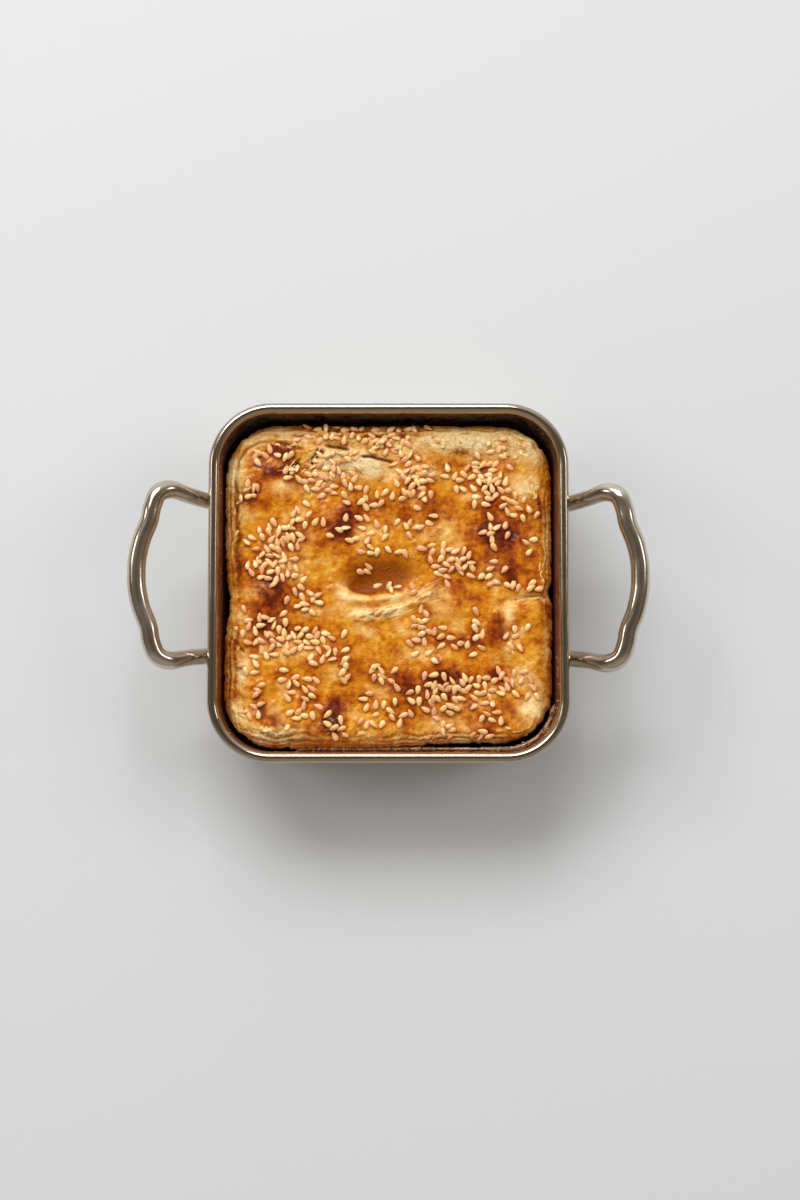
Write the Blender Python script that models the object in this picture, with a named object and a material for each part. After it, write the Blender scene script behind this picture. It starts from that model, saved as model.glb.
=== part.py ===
"""Square glazed meat and potato pie with sesame seeds, baked in its own small steel dish with two handles.

Metres, +Z up. The origin is on the ground under the middle of the dish. +X runs from handle to handle,
and -Y is the side that faces the viewer.
"""
import math
import random

import bmesh
import bpy
from mathutils import Euler, Matrix, Vector, noise
from mathutils.bvhtree import BVHTree

MM = 0.001
GAP = 0.3 * MM                     # clearance between pieces that touch in the real thing

# Dish: pressed sheet with a rolled bead round its mouth
RIM_HALF = 60.0 * MM               # half of the width across the bead
RIM_CORNER = 21.0 * MM             # outer corner radius at the bead
RIM_TOP = 42.0 * MM
BEAD_RADIUS = 1.75 * MM
SHEET = 1.0 * MM                   # wall and floor thickness
FLOOR_FILLET = 6.0 * MM            # inner radius between wall and floor
WALL_DRAFT = math.radians(3.7)
CORNER_STEPS = 8
BEAD_STEPS = 11
FILLET_STEPS = 4

# Pie
PIE_GAP = 0.5 * MM                 # to the dish, more than GAP because both are faceted
PLATEAU = 35.3 * MM                # mean height of the crust away from its edge
EDGE_HEIGHT = 29.8 * MM            # where the crust is widest
SHOULDER = 9.5 * MM                # width of the rounded edge
RELIEF_LIMIT = 1.5                 # highest relief over the plateau, in millimetres
EDGE_CALM = 0.8                    # share of the relief that is lost at the very edge
EDGE_HALF = (55.3 * MM, 55.1 * MM, 54.4 * MM, 55.2 * MM)       # left, right, back, front
EDGE_CORNERS = (18.5 * MM, 19.0 * MM, 19.0 * MM, 18.5 * MM)    # from the back left, clockwise from above
CRUST_CELLS = 36

# Seeds
SEED_SIZE = (3.6 * MM, 2.1 * MM, 1.0 * MM)
SEED_SPACING = 2.5 * MM            # between the long axes of neighbours
SEED_MARGIN = 4.5 * MM             # from the crust's edge
SEED_SINK = 0.36 * MM
SEED_SHARE = 0.30                  # of the sprinkled seeds, the ones large enough to model
SEED_DRAW = 7

# Handles: one bent rod each, a little thicker at the grip
ROOT_SIDE = 25.8 * MM              # from the middle of a handle to a root
ROOT_HEIGHT = 33.0 * MM
HANDLE_SHIFTS = {-1: 1.9 * MM, 1: 1.0 * MM}    # how far each handle sits towards the back
ROD_RADIUS = 2.8 * MM
GRIP_RADIUS = 3.2 * MM
GRIP_FROM, GRIP_FULL = 66.0 * MM, 74.0 * MM    # distance from the middle plane over which the rod thickens
FOOT_RADIUS = 3.6 * MM
FOOT_LENGTH = 1.4 * MM             # straight part, square to the wall
FOOT_FLARE = 2.4 * MM
ROD_POINTS = 20                    # along half a handle


def clear_scene():
    for item in list(bpy.data.objects):
        bpy.data.objects.remove(item, do_unlink=True)


def make_material(name, colour, roughness, metallic):
    material = bpy.data.materials.new(name)
    material.use_nodes = True
    shader = material.node_tree.nodes["Principled BSDF"]
    shader.inputs["Base Color"].default_value = (*colour, 1.0)
    shader.inputs["Roughness"].default_value = roughness
    shader.inputs["Metallic"].default_value = metallic
    return material


def add_object(name, data, material):
    data.materials.append(material)
    item = bpy.data.objects.new(name, data)
    bpy.context.scene.collection.objects.link(item)
    return item


def mesh_from(bm, name, smooth_angle):
    bmesh.ops.recalc_face_normals(bm, faces=bm.faces)
    mesh = bpy.data.meshes.new(name)
    bm.to_mesh(mesh)
    bm.free()
    mesh.shade_smooth()
    mesh.set_sharp_from_angle(angle=smooth_angle)
    return mesh


# Dish profile, as half-width and height

def fillet_centre():
    """Common centre of the inner and outer fillets, placed so that the wall meets the bead."""
    upright = RIM_TOP - BEAD_RADIUS - SHEET - FLOOR_FILLET * (1 - math.sin(WALL_DRAFT))
    inner_top = RIM_HALF - 2 * BEAD_RADIUS
    across = inner_top - FLOOR_FILLET * math.cos(WALL_DRAFT) - upright * math.tan(WALL_DRAFT)
    return across, SHEET + FLOOR_FILLET


def wall_half(height, offset):
    """Half-width of the wall's inner face, moved out by offset, at a height above the fillet."""
    inner_top = RIM_HALF - 2 * BEAD_RADIUS
    drop = RIM_TOP - BEAD_RADIUS - height
    return inner_top - drop * math.tan(WALL_DRAFT) + offset / math.cos(WALL_DRAFT)


def arc(centre, radius, start, end, steps):
    turn = [start + (end - start) * step / steps for step in range(steps + 1)]
    return [(centre[0] + radius * math.cos(a), centre[1] + radius * math.sin(a)) for a in turn]


def dish_profile():
    centre = fillet_centre()
    bead = (RIM_HALF - BEAD_RADIUS, RIM_TOP - BEAD_RADIUS)
    wall_meets = math.acos((SHEET - BEAD_RADIUS) / BEAD_RADIUS)
    outer = arc(centre, FLOOR_FILLET + SHEET, -math.pi / 2, -WALL_DRAFT, FILLET_STEPS)
    roll = arc(bead, BEAD_RADIUS, -wall_meets, math.pi, BEAD_STEPS)
    inner = arc(centre, FLOOR_FILLET, -WALL_DRAFT, -math.pi / 2, FILLET_STEPS)
    return outer + roll + inner


def rounded_square(bm, half, height):
    """Closed ring of edges: every ring of the dish has the same corner centres."""
    radius = half - (RIM_HALF - RIM_CORNER)
    reach = RIM_HALF - RIM_CORNER
    verts = []
    for quarter in range(4):
        for step in range(CORNER_STEPS + 1):
            angle = math.pi / 2 * (quarter + step / CORNER_STEPS)
            corner = math.pi / 4 + math.pi / 2 * quarter
            x = math.copysign(reach, math.cos(corner)) + radius * math.cos(angle)
            y = math.copysign(reach, math.sin(corner)) + radius * math.sin(angle)
            verts.append(bm.verts.new((x, y, height)))
    return [bm.edges.new((verts[i - 1], verts[i])) for i in range(len(verts))]


def make_dish(material):
    bm = bmesh.new()
    rings = [rounded_square(bm, half, height) for half, height in dish_profile()]
    for lower, upper in zip(rings, rings[1:]):
        bmesh.ops.bridge_loops(bm, edges=lower + upper)
    bmesh.ops.contextual_create(bm, geom=rings[0])
    bmesh.ops.contextual_create(bm, geom=rings[-1])
    return add_object("dish", mesh_from(bm, "dish", math.radians(40)), material)


# Handles

def handle_foot():
    """End of the rod, face to face with the wall, and the direction in which it leaves."""
    out = Vector((math.cos(WALL_DRAFT), 0, -math.sin(WALL_DRAFT)))
    root = Vector((wall_half(ROOT_HEIGHT, SHEET), ROOT_SIDE, ROOT_HEIGHT))
    return root + out * GAP, out


def handle_route():
    """Points of half a handle on the +X side, from just off the wall to the middle of the grip."""
    foot, out = handle_foot()
    return [foot + out * FOOT_LENGTH] + [Vector(p) * MM for p in (
        (62.5, 26.4, 35.3), (67.2, 27.3, 39.9), (72.0, 28.4, 44.0), (75.9, 26.8, 46.3), (77.8, 22.4, 47.1),
        (78.8, 17.4, 47.4), (81.1, 11.4, 47.5), (82.5, 5.2, 47.5), (82.75, 0.0, 47.5))]


def smooth_route(route, count):
    """Evenly many points on a Catmull-Rom curve through the route, which its mirror image continues."""
    mirrored = route[-2].copy()
    mirrored.y = -mirrored.y
    padded = [route[0] * 2 - route[1]] + route + [mirrored]
    points = []
    for index in range(count):
        place = index / (count - 1) * (len(route) - 1)
        span = min(int(place), len(route) - 2)
        t = place - span
        a, b, c, d = padded[span:span + 4]
        points.append(0.5 * (2 * b + (c - a) * t + (2 * a - 5 * b + 4 * c - d) * t * t
                             + (3 * b - a - 3 * c + d) * t ** 3))
    return points


def rod_radius(point):
    """Flared at the foot, slim along the leg, thicker at the grip."""
    grip = min(max((point.x - GRIP_FROM) / (GRIP_FULL - GRIP_FROM), 0.0), 1.0)
    foot = max(1 - (point - handle_foot()[0]).length / FOOT_FLARE, 0.0)
    body = ROD_RADIUS + (GRIP_RADIUS - ROD_RADIUS) * grip * grip * (3 - 2 * grip)
    return body + (FOOT_RADIUS - ROD_RADIUS) * foot * foot


def make_handle(name, side, material):
    half = [handle_foot()[0]] + smooth_route(handle_route(), ROD_POINTS)
    far_half = [Vector((p.x, -p.y, p.z)) for p in reversed(half[:-1])]
    points = half + far_half
    curve = bpy.data.curves.new(name, "CURVE")
    curve.dimensions = "3D"
    curve.bevel_depth = 1.0
    curve.bevel_resolution = 3
    curve.use_fill_caps = True
    spline = curve.splines.new("POLY")
    spline.points.add(len(points) - 1)
    for target, point in zip(spline.points, points):
        target.co = (side * point.x, point.y + HANDLE_SHIFTS[side], point.z, 1.0)
        target.radius = rod_radius(Vector((point.x, abs(point.y), point.z)))
    return add_object(name, curve, material)


# Crust relief: every place and size below is in millimetres on the crust, seen from above

def dome(x, y, cx, cy, rx, ry, turn=0.0):
    c, s = math.cos(math.radians(turn)), math.sin(math.radians(turn))
    u = ((x - cx) * c + (y - cy) * s) / rx
    v = ((y - cy) * c - (x - cx) * s) / ry
    return math.exp(-(u * u + v * v))


def along(x, y, route):
    """Signed distance to a line through the route's points, and a fade towards its two ends."""
    best = (1e9, 1.0, 0.0)
    total = len(route) - 1
    for index, ((ax, ay), (bx, by)) in enumerate(zip(route, route[1:])):
        dx, dy = bx - ax, by - ay
        t = min(max(((x - ax) * dx + (y - ay) * dy) / (dx * dx + dy * dy), 0.0), 1.0)
        away = math.hypot(x - ax - t * dx, y - ay - t * dy)
        if away < best[0]:
            side = 1.0 if dx * (y - ay) - dy * (x - ax) > 0 else -1.0
            best = (away, side, (index + t) / total)
    away, side, place = best
    fade = min(1.0, 5 * min(place, 1 - place) + 0.15)
    return away * side, fade


def ridge(x, y, route, width, height):
    away, fade = along(x, y, route)
    return height * fade * math.exp(-(away / width) ** 2)


def flap(x, y, route, reach, height):
    """Edge of an upper sheet: a sharp step on the left of the route that dies out over reach."""
    away, fade = along(x, y, route)
    step = 1 / (1 + math.exp(-away / FLAP_EDGE))
    return height * fade * step * math.exp(-max(away, 0.0) / reach)


# Steam hole and the pocket under its near lip: middle, half-lengths, turn and depth
HOLLOWS = ((-3.5, 1.6, 11.5, 5.2, 12.0, 2.6), (-9.5, -1.6, 5.0, 3.0, 15.0, 1.5))
# Ridges and, below zero, grooves: half-width, height and the line they follow. In this order: the lip of the
# hole, the wrinkle before it, the side fold, the ridge under it, the edge of the strip, the front fold and
# the creases along the left edge.
RIDGES = (
    (1.9, 1.1, ((-18, -2.0), (-12, -5.2), (-4, -5.6), (4, -4.4), (10, -1.0))),
    (1.3, 0.85, ((-14, -10.9), (-6, -10.2), (2, -8.9), (9, -6.6), (14, -2.4), (17.5, 2.5))),
    (1.2, -0.9, ((53.5, -5.6), (47, -5.0), (40, -5.6), (36.5, -7.5))),
    (2.0, 1.0, ((35.6, -8), (36.2, -14), (38.2, -20), (40.5, -26))),
    (1.5, -0.7, ((41.5, 22), (40.6, 14), (41.0, 6), (42.0, -3))),
    (2.0, 0.9, ((-46, -43), (-38, -48.6), (-29, -50.0), (-20, -51.5))),
    (1.2, -0.9, ((-51.5, 38), (-50.2, 30), (-51.2, 22), (-52, 12))),
    (1.2, -0.9, ((-49.4, 16), (-50.6, 8), (-49.6, 0), (-51, -8))),
    (1.2, -0.9, ((-51.0, -18), (-49.8, -27), (-50.6, -36), (-46, -45))),
)
# Torn upper leaves: reach, height and the line of the torn edge
FLAPS = (
    (6.0, 1.5, ((1.5, 41.4), (-5, 41.9), (-10, 44.3), (-16, 45.4), (-22, 46.2), (-29, 45.2), (-39, 47.2))),
    (5.0, 1.2, ((-30, 41.8), (-33, 39.6), (-36.5, 36.8))),
)
FLAP_EDGE = 0.45
# Blisters and dips: middle, half-lengths and height
BLISTERS = (
    (-15.5, 21.5, 6.5, 5.5, 0.9), (35.5, 16.5, 5.5, 4.5, 0.9), (-39, -2.5, 7, 6, 0.7),
    (16.5, -29.5, 5, 4, 0.8), (-18.5, -43, 3.5, 4.5, 0.6), (-41.5, 33, 6.5, 7.5, 1.2),
    (-1, 29, 6, 5, 0.7), (25, -8, 7, 4, 0.6), (38, -16, 3, 7, -0.5), (31, 30, 8, 7, 0.8),
    (-30, 12, 5, 8, 0.4), (7, -22, 9, 6, -0.4),
)
# Dents in the crust's outline: direction from the middle, half-width and depth as a share of the radius
DENTS = ((-0.055, 0.045, 0.022), (-1.10, 0.35, 0.032), (-3.03, 0.16, 0.030))


def swell(x, y):
    """Soft unevenness of the baked sheet."""
    broad = noise.noise(Vector((x / 19, y / 19, 3.1)))
    middle = noise.noise(Vector((x / 8.5, y / 8.5, 7.7)))
    return 0.85 * broad + 0.35 * middle


def relief(x, y):
    """Height of the crust over its plateau in millimetres, at a place in millimetres."""
    total = swell(x, y)
    total -= sum(depth * dome(x, y, cx, cy, rx, ry, turn) for cx, cy, rx, ry, turn, depth in HOLLOWS)
    total += sum(ridge(x, y, route, width, height) for width, height, route in RIDGES)
    total += sum(flap(x, y, route, reach, height) for reach, height, route in FLAPS)
    total += sum(height * dome(x, y, cx, cy, rx, ry) for cx, cy, rx, ry, height in BLISTERS)
    return RELIEF_LIMIT * math.tanh(total / RELIEF_LIMIT) if total > 0 else total


# Crust outline

def to_outline(a, b):
    """Moves a place in the square -1..1 onto the pie's outline, which has four different corners."""
    half_x = EDGE_HALF[0] if a < 0 else EDGE_HALF[1]
    half_y = EDGE_HALF[2] if b > 0 else EDGE_HALF[3]
    corner = EDGE_CORNERS[(0 if a < 0 else 1) if b > 0 else (3 if a < 0 else 2)]
    x, y = abs(a) * half_x, abs(b) * half_y
    u = max(x - half_x + corner, 0.0) / corner
    v = max(y - half_y + corner, 0.0) / corner
    if u > 0 and v > 0:
        x += corner * u * (math.sqrt(1 - v * v / 2) - 1)
        y += corner * v * (math.sqrt(1 - u * u / 2) - 1)
    return math.copysign(x, a), math.copysign(y, b)


def edge_wobble(angle):
    """How far the crust's edge stands in from its even outline, as a share of its radius."""
    x, y = math.cos(angle), math.sin(angle)
    ragged = 0.008 * (0.5 + 0.5 * noise.noise(Vector((4 * x, 4 * y, 1.3))))
    return ragged + sum(depth * math.exp(-(math.remainder(angle - middle, 2 * math.pi) / half) ** 2)
                        for middle, half, depth in DENTS)


def crust_place(a, b):
    """Place on the crust, in metres, of a point of the square -1..1."""
    rim_share = max(abs(a), abs(b))
    x, y = to_outline(a, b)
    shrink = 1 - edge_wobble(math.atan2(y, x)) * rim_share ** 6
    x, y = x * shrink, y * shrink
    inward = (1 - rim_share) * EDGE_HALF[0]
    fall = max(1 - inward / SHOULDER, 0.0)
    drop = (PLATEAU - EDGE_HEIGHT) * (1 - math.sqrt(max(1 - fall * fall, 0.0)))
    lift = relief(x / MM, y / MM) * MM * (1 - EDGE_CALM * fall ** 3)
    return Vector((x, y, PLATEAU - drop + lift))


def side_rings():
    """Scale and height of each ring under the crust's edge, following the dish's inner face."""
    across, height = fillet_centre()
    radius = FLOOR_FILLET - PIE_GAP
    widest = wall_half(EDGE_HEIGHT, 0) - PIE_GAP
    turns = (-WALL_DRAFT, -math.pi / 4, -math.pi / 2)
    return [((across + radius * math.cos(a)) / widest, height + radius * math.sin(a)) for a in turns]


def crust_core():
    bm = bmesh.new()
    bmesh.ops.create_grid(bm, x_segments=CRUST_CELLS, y_segments=CRUST_CELLS, size=1.0)
    for vert in bm.verts:
        vert.co = crust_place(vert.co.x, vert.co.y)
    border = [edge for edge in bm.edges if edge.is_boundary]
    last_scale = 1.0
    for scale, height in side_rings():
        made = bmesh.ops.extrude_edge_only(bm, edges=border)["geom"]
        border = [item for item in made if isinstance(item, bmesh.types.BMEdge) and item.is_boundary]
        for vert in [item for item in made if isinstance(item, bmesh.types.BMVert)]:
            share = scale / last_scale
            vert.co = (vert.co.x * share, vert.co.y * share, height)
        last_scale = scale
    bmesh.ops.contextual_create(bm, geom=border)
    return bm


# Seeds: each drift is its middle, its two half-lengths and how many seeds fell there, in millimetres

DRIFTS = (
    (-41, 42.5, 3.5, 2.5, 6), (-48, 31, 3, 3, 5), (-32, 39.5, 4, 3, 7), (-18, 44, 6, 2, 9),
    (-20, 36, 8, 5, 28), (-12, 49, 10, 1.5, 14), (2, 47, 6, 2, 8), (7.7, 39, 4.5, 4, 15),
    (10, 31, 5, 4, 12), (32, 35, 7.5, 7, 40), (42, 26, 5, 4.5, 14), (34.5, 17.5, 5, 3.5, 9),
    (-38.3, 15.5, 7, 5, 24), (-37.5, 6.5, 6, 5, 28), (-28, 22, 6, 4.5, 11), (-10, 18.5, 8, 4.5, 18),
    (-1, 11, 6, 2, 7), (9.5, 19, 5, 4.5, 11), (21, 7.5, 7, 4, 24), (-8, 4.4, 3, 1.5, 3),
    (2.5, -1, 4.5, 2, 6), (-27, -6, 5.5, 4.5, 13), (-39, -13, 6, 4, 13), (-32.5, -20, 8.5, 3, 27),
    (-22, -23, 3, 4, 7), (-14.7, -26, 1.2, 5, 8), (-30, -33, 6, 3.5, 12), (-43.5, -40, 2, 6, 8),
    (-28.5, -44, 5.5, 3.5, 12), (-16.6, -48, 4, 3, 6), (-2.5, -31.5, 4.5, 3, 10), (-5, -40, 5, 4, 7),
    (15, -37.5, 6, 5, 26), (28, -35, 10, 3.5, 25), (40, -32.5, 5, 3, 11), (16.5, -18.5, 9, 4.5, 19),
    (9.6, -11, 2.5, 3.5, 8), (29.4, -17.5, 1.5, 6, 7), (43.5, -16, 3, 4, 7), (44.5, -1, 6, 1.5, 7),
    (34, 1, 4.5, 5, 9), (33, -44, 5, 3, 8), (20, -49.5, 4, 2, 5), (4, -44, 4.5, 3, 7),
    (49, -37, 2.5, 2, 3), (-47, -16, 2.5, 5, 6), (-46, -28, 3, 4, 6), (48, 11, 2, 5, 4),
    (-7, 29, 7, 4, 12),
)


def edge_distance(x, y):
    """How far inside the crust's even outline a place is, in metres."""
    half, corner = min(EDGE_HALF), max(EDGE_CORNERS)
    u = max(abs(x) - half + corner, 0.0)
    v = max(abs(y) - half + corner, 0.0)
    return corner - math.hypot(u, v) if u > 0 and v > 0 else half - max(abs(x), abs(y))


def seed_axis(x, y, yaw):
    """Three places along a seed's long axis, for telling how near two seeds lie."""
    reach = (SEED_SIZE[0] - SEED_SIZE[1]) / 2
    return [(x + step * reach * math.cos(yaw), y + step * reach * math.sin(yaw)) for step in (-1, 0, 1)]


def apart(axis, others):
    return all(math.dist(p, q) > SEED_SPACING for other in others for p in axis for q in other)


def sprinkle():
    """Place and turn of each seed large enough to model, no two of them touching."""
    draw = random.Random(SEED_DRAW)
    seeds, taken = [], []
    for cx, cy, rx, ry, count in DRIFTS:
        wanted = max(round(count * SEED_SHARE), 1)
        for attempt in range(60 * wanted):
            x = (cx + draw.gauss(0, 0.55) * rx) * MM
            y = (cy + draw.gauss(0, 0.55) * ry) * MM
            yaw = draw.uniform(-math.pi, math.pi)
            axis = seed_axis(x, y, yaw)
            if edge_distance(x, y) > SEED_MARGIN and apart(axis, taken):
                seeds.append((x, y, yaw))
                taken.append(axis)
                wanted -= 1
            if wanted == 0:
                break
    return seeds


def make_seed(place, normal, yaw):
    """One teardrop lying on the crust, its pointed end along the yaw."""
    bm = bmesh.new()
    bmesh.ops.create_uvsphere(bm, u_segments=5, v_segments=3, radius=0.5)
    for vert in bm.verts:
        belly = 1 - 0.7 * vert.co.z
        across, up = vert.co.x * belly, vert.co.y * belly
        vert.co = (vert.co.z * SEED_SIZE[0], across * SEED_SIZE[1], up * SEED_SIZE[2])
    lie = normal.to_track_quat("Z", "Y").to_matrix().to_4x4() @ Euler((0, 0, yaw)).to_matrix().to_4x4()
    middle = place + normal * (SEED_SIZE[2] / 2 - SEED_SINK)
    bmesh.ops.transform(bm, matrix=Matrix.Translation(middle) @ lie, verts=bm.verts)
    bmesh.ops.recalc_face_normals(bm, faces=bm.faces)
    mesh = bpy.data.meshes.new("seed")
    bm.to_mesh(mesh)
    bm.free()
    return bpy.data.objects.new("seed", mesh)


def keep_largest_shell(mesh):
    """Drops loose scraps and the skins of sealed hollows, which are separate shells."""
    bm = bmesh.new()
    bm.from_mesh(mesh)
    left, shells = set(bm.verts), []
    while left:
        front = [left.pop()]
        shell = set(front)
        while front:
            near = {edge.other_vert(front[0]) for edge in front[0].link_edges} & left
            left -= near
            shell |= near
            front = front[1:] + list(near)
        shells.append(shell)
    shells.sort(key=len)
    scraps = [vert for shell in shells[:-1] for vert in shell]
    bmesh.ops.delete(bm, geom=scraps, context="VERTS")
    bm.to_mesh(mesh)
    bm.free()


def fuse(item, pieces):
    """Joins the pieces to the item by one union, and removes them."""
    group = bpy.data.collections.new("fused")
    bpy.context.scene.collection.children.link(group)
    for piece in pieces:
        group.objects.link(piece)
    union = item.modifiers.new("fuse", "BOOLEAN")
    union.operation = "UNION"
    union.operand_type = "COLLECTION"
    union.collection = group
    bpy.context.view_layer.objects.active = item
    bpy.ops.object.modifier_apply(modifier=union.name)
    for piece in pieces:
        bpy.data.objects.remove(piece, do_unlink=True)
    bpy.data.collections.remove(group)
    keep_largest_shell(item.data)


def make_pie(material):
    bm = crust_core()
    tree = BVHTree.FromBMesh(bm)
    pie = add_object("pie", mesh_from(bm, "pie", math.radians(60)), material)
    seeds = []
    for x, y, yaw in sprinkle():
        place, normal, _, _ = tree.ray_cast(Vector((x, y, RIM_TOP)), Vector((0, 0, -1)))
        seeds.append(make_seed(place, normal, yaw))
    fuse(pie, seeds)


def main():
    clear_scene()
    steel = make_material("polished_steel", (0.62, 0.60, 0.57), 0.22, 1.0)
    crust = make_material("glazed_crust", (0.72, 0.38, 0.09), 0.38, 0.0)
    make_dish(steel)
    make_handle("handle_left", -1, steel)
    make_handle("handle_right", 1, steel)
    make_pie(crust)


main()
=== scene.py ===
import math
import random

import bpy
import numpy as np
from mathutils import Matrix, Vector, kdtree, noise


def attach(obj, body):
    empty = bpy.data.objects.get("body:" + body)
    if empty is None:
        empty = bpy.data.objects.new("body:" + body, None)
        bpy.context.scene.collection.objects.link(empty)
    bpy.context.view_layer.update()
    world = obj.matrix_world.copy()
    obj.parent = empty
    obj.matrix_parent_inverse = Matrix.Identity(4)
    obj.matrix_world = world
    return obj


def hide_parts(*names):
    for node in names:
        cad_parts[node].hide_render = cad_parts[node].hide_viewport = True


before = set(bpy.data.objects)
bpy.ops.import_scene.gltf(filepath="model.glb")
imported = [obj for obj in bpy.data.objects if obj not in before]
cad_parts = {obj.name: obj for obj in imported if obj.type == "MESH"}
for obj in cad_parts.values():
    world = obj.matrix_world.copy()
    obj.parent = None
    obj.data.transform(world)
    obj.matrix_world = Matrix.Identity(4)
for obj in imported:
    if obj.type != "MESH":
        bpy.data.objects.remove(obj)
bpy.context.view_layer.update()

MM = 0.001
UP = Vector((0, 0, 1))

# Dish, repeated from the construction
RIM_HALF, RIM_CORNER, RIM_TOP = 59.98 * MM, 21.0 * MM, 42.0 * MM
BEAD_RADIUS, SHEET, FLOOR_FILLET = 1.75 * MM, 1.0 * MM, 6.0 * MM
WALL_DRAFT = math.radians(3.7)
REACH = RIM_HALF - RIM_CORNER      # from the middle to the centre of a corner's arcs
INNER_TOP = RIM_HALF - 2 * BEAD_RADIUS

# Pie, repeated from the construction
PIE_GAP, PLATEAU, EDGE_HEIGHT, SHOULDER = 0.5 * MM, 35.3 * MM, 29.8 * MM, 9.5 * MM
RELIEF_LIMIT = 1.5
EDGE_CALM = 0.8                    # share of the relief that is lost at the very edge
EDGE_HALF = (55.3 * MM, 55.1 * MM, 54.4 * MM, 55.2 * MM)       # left, right, back, front
EDGE_CORNERS = (18.5 * MM, 19.0 * MM, 19.0 * MM, 18.5 * MM)    # from the back left, clockwise from above
SHOULDER_SQUARENESS = 2.5          # 2 in the construction; the finer surface turns down a little later
WARP, WARP_SIZE = 0.9, 5.5         # how far patches and forms stray from their plain ovals, in millimetres
BROWNED_ALL_OVER = 0.40
CRUST_CELLS = 300

# Camera: nearly overhead, a little towards the viewer
AIM = Vector((3.8, -6.3, 42.0)) * MM
CAMERA_AWAY, CAMERA_TILT, LENS = 0.7425, math.radians(6), 67.4


# Working by hand

def active():
    return bpy.context.view_layer.objects.active


def set_mode(mode):
    bpy.ops.object.mode_set(mode=mode)


def start_clean():
    if bpy.context.mode != "OBJECT":
        set_mode("OBJECT")
    bpy.ops.object.select_all(action="DESELECT")


def name_piece(name, material):
    """Puts the active object's place into its mesh, names it and lets it ride on the part's one body."""
    piece = active()
    bpy.ops.object.transform_apply(location=True, rotation=True, scale=True)
    piece.name = piece.data.name = name
    piece.data.materials.clear()
    piece.data.materials.append(material)
    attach(piece, "root")
    return piece


def draw_line(points):
    """One vertex, extruded from point to point."""
    start_clean()
    bpy.ops.mesh.primitive_plane_add(size=MM, location=points[0])
    set_mode("EDIT")
    bpy.ops.mesh.select_all(action="SELECT")
    bpy.ops.mesh.merge(type="CENTER")
    for here, there in zip(points, points[1:]):
        bpy.ops.mesh.extrude_region_move(TRANSFORM_OT_translate={"value": there - here})


def select_where(test, kind="VERT"):
    """Selects the vertices of the object in edit mode whose place passes the test, and nothing else."""
    bpy.ops.mesh.select_mode(type="VERT")
    bpy.ops.mesh.select_all(action="DESELECT")
    set_mode("OBJECT")
    item = active()
    for vert in item.data.vertices:
        vert.select = test(item.matrix_world @ vert.co)
    set_mode("EDIT")
    bpy.ops.mesh.select_mode(type=kind)


def face_outward():
    """Turns every face of the object in edit mode outward and leaves edit mode."""
    bpy.ops.mesh.select_all(action="SELECT")
    bpy.ops.mesh.normals_make_consistent(inside=False)
    set_mode("OBJECT")


def apply_modifier(kind, **settings):
    item = active()
    modifier = item.modifiers.new(kind, kind)
    for key, value in settings.items():
        setattr(modifier, key, value)
    bpy.ops.object.modifier_apply(modifier=modifier.name)


def set_attribute(mesh, name, values):
    """Stores a value at each vertex, for the materials to read."""
    attribute = mesh.attributes.get(name) or mesh.attributes.new(name, "FLOAT", "POINT")
    attribute.data.foreach_set("value", np.asarray(values, np.float32))


# Dish

def fillet_centre():
    """Half-width and height of the centre of the round between wall and floor."""
    upright = RIM_TOP - BEAD_RADIUS - SHEET - FLOOR_FILLET * (1 - math.sin(WALL_DRAFT))
    across = INNER_TOP - FLOOR_FILLET * math.cos(WALL_DRAFT) - upright * math.tan(WALL_DRAFT)
    return across, SHEET + FLOOR_FILLET


def wall_half(height, offset=0.0):
    """Half-width of the wall's inner face, moved out by offset, at a height above the round."""
    drop = RIM_TOP - BEAD_RADIUS - height
    return INNER_TOP - drop * math.tan(WALL_DRAFT) + offset / math.cos(WALL_DRAFT)


def arc(centre, radius, start, end, steps):
    turns = [start + (end - start) * step / steps for step in range(steps + 1)]
    return [(centre[0] + radius * math.cos(a), centre[1] + radius * math.sin(a)) for a in turns]


def dish_profile():
    """Half-width and height from the middle of the underside round the bead to the middle of the floor."""
    centre = fillet_centre()
    bead = (RIM_HALF - BEAD_RADIUS, RIM_TOP - BEAD_RADIUS)
    wall_meets = math.acos((SHEET - BEAD_RADIUS) / BEAD_RADIUS)
    outer = arc(centre, FLOOR_FILLET + SHEET, -math.pi / 2, -WALL_DRAFT, 10)
    roll = arc(bead, BEAD_RADIUS, -wall_meets, math.pi, 30)
    inner = arc(centre, FLOOR_FILLET, -WALL_DRAFT, -math.pi / 2, 8)
    return outer + roll + inner


def on_inside(place):
    """Whether a place on the sheet is on its inner side."""
    u, v = abs(place.x) - REACH, abs(place.y) - REACH
    half = REACH + (math.hypot(u, v) if u > 0 and v > 0 else max(u, v))
    across, height = fillet_centre()
    if place.z > height:
        return half < wall_half(place.z, SHEET / 2)
    if half > across:
        return math.dist((half, place.z), (across, height)) < FLOOR_FILLET + SHEET / 2
    return place.z > SHEET / 2


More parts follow.
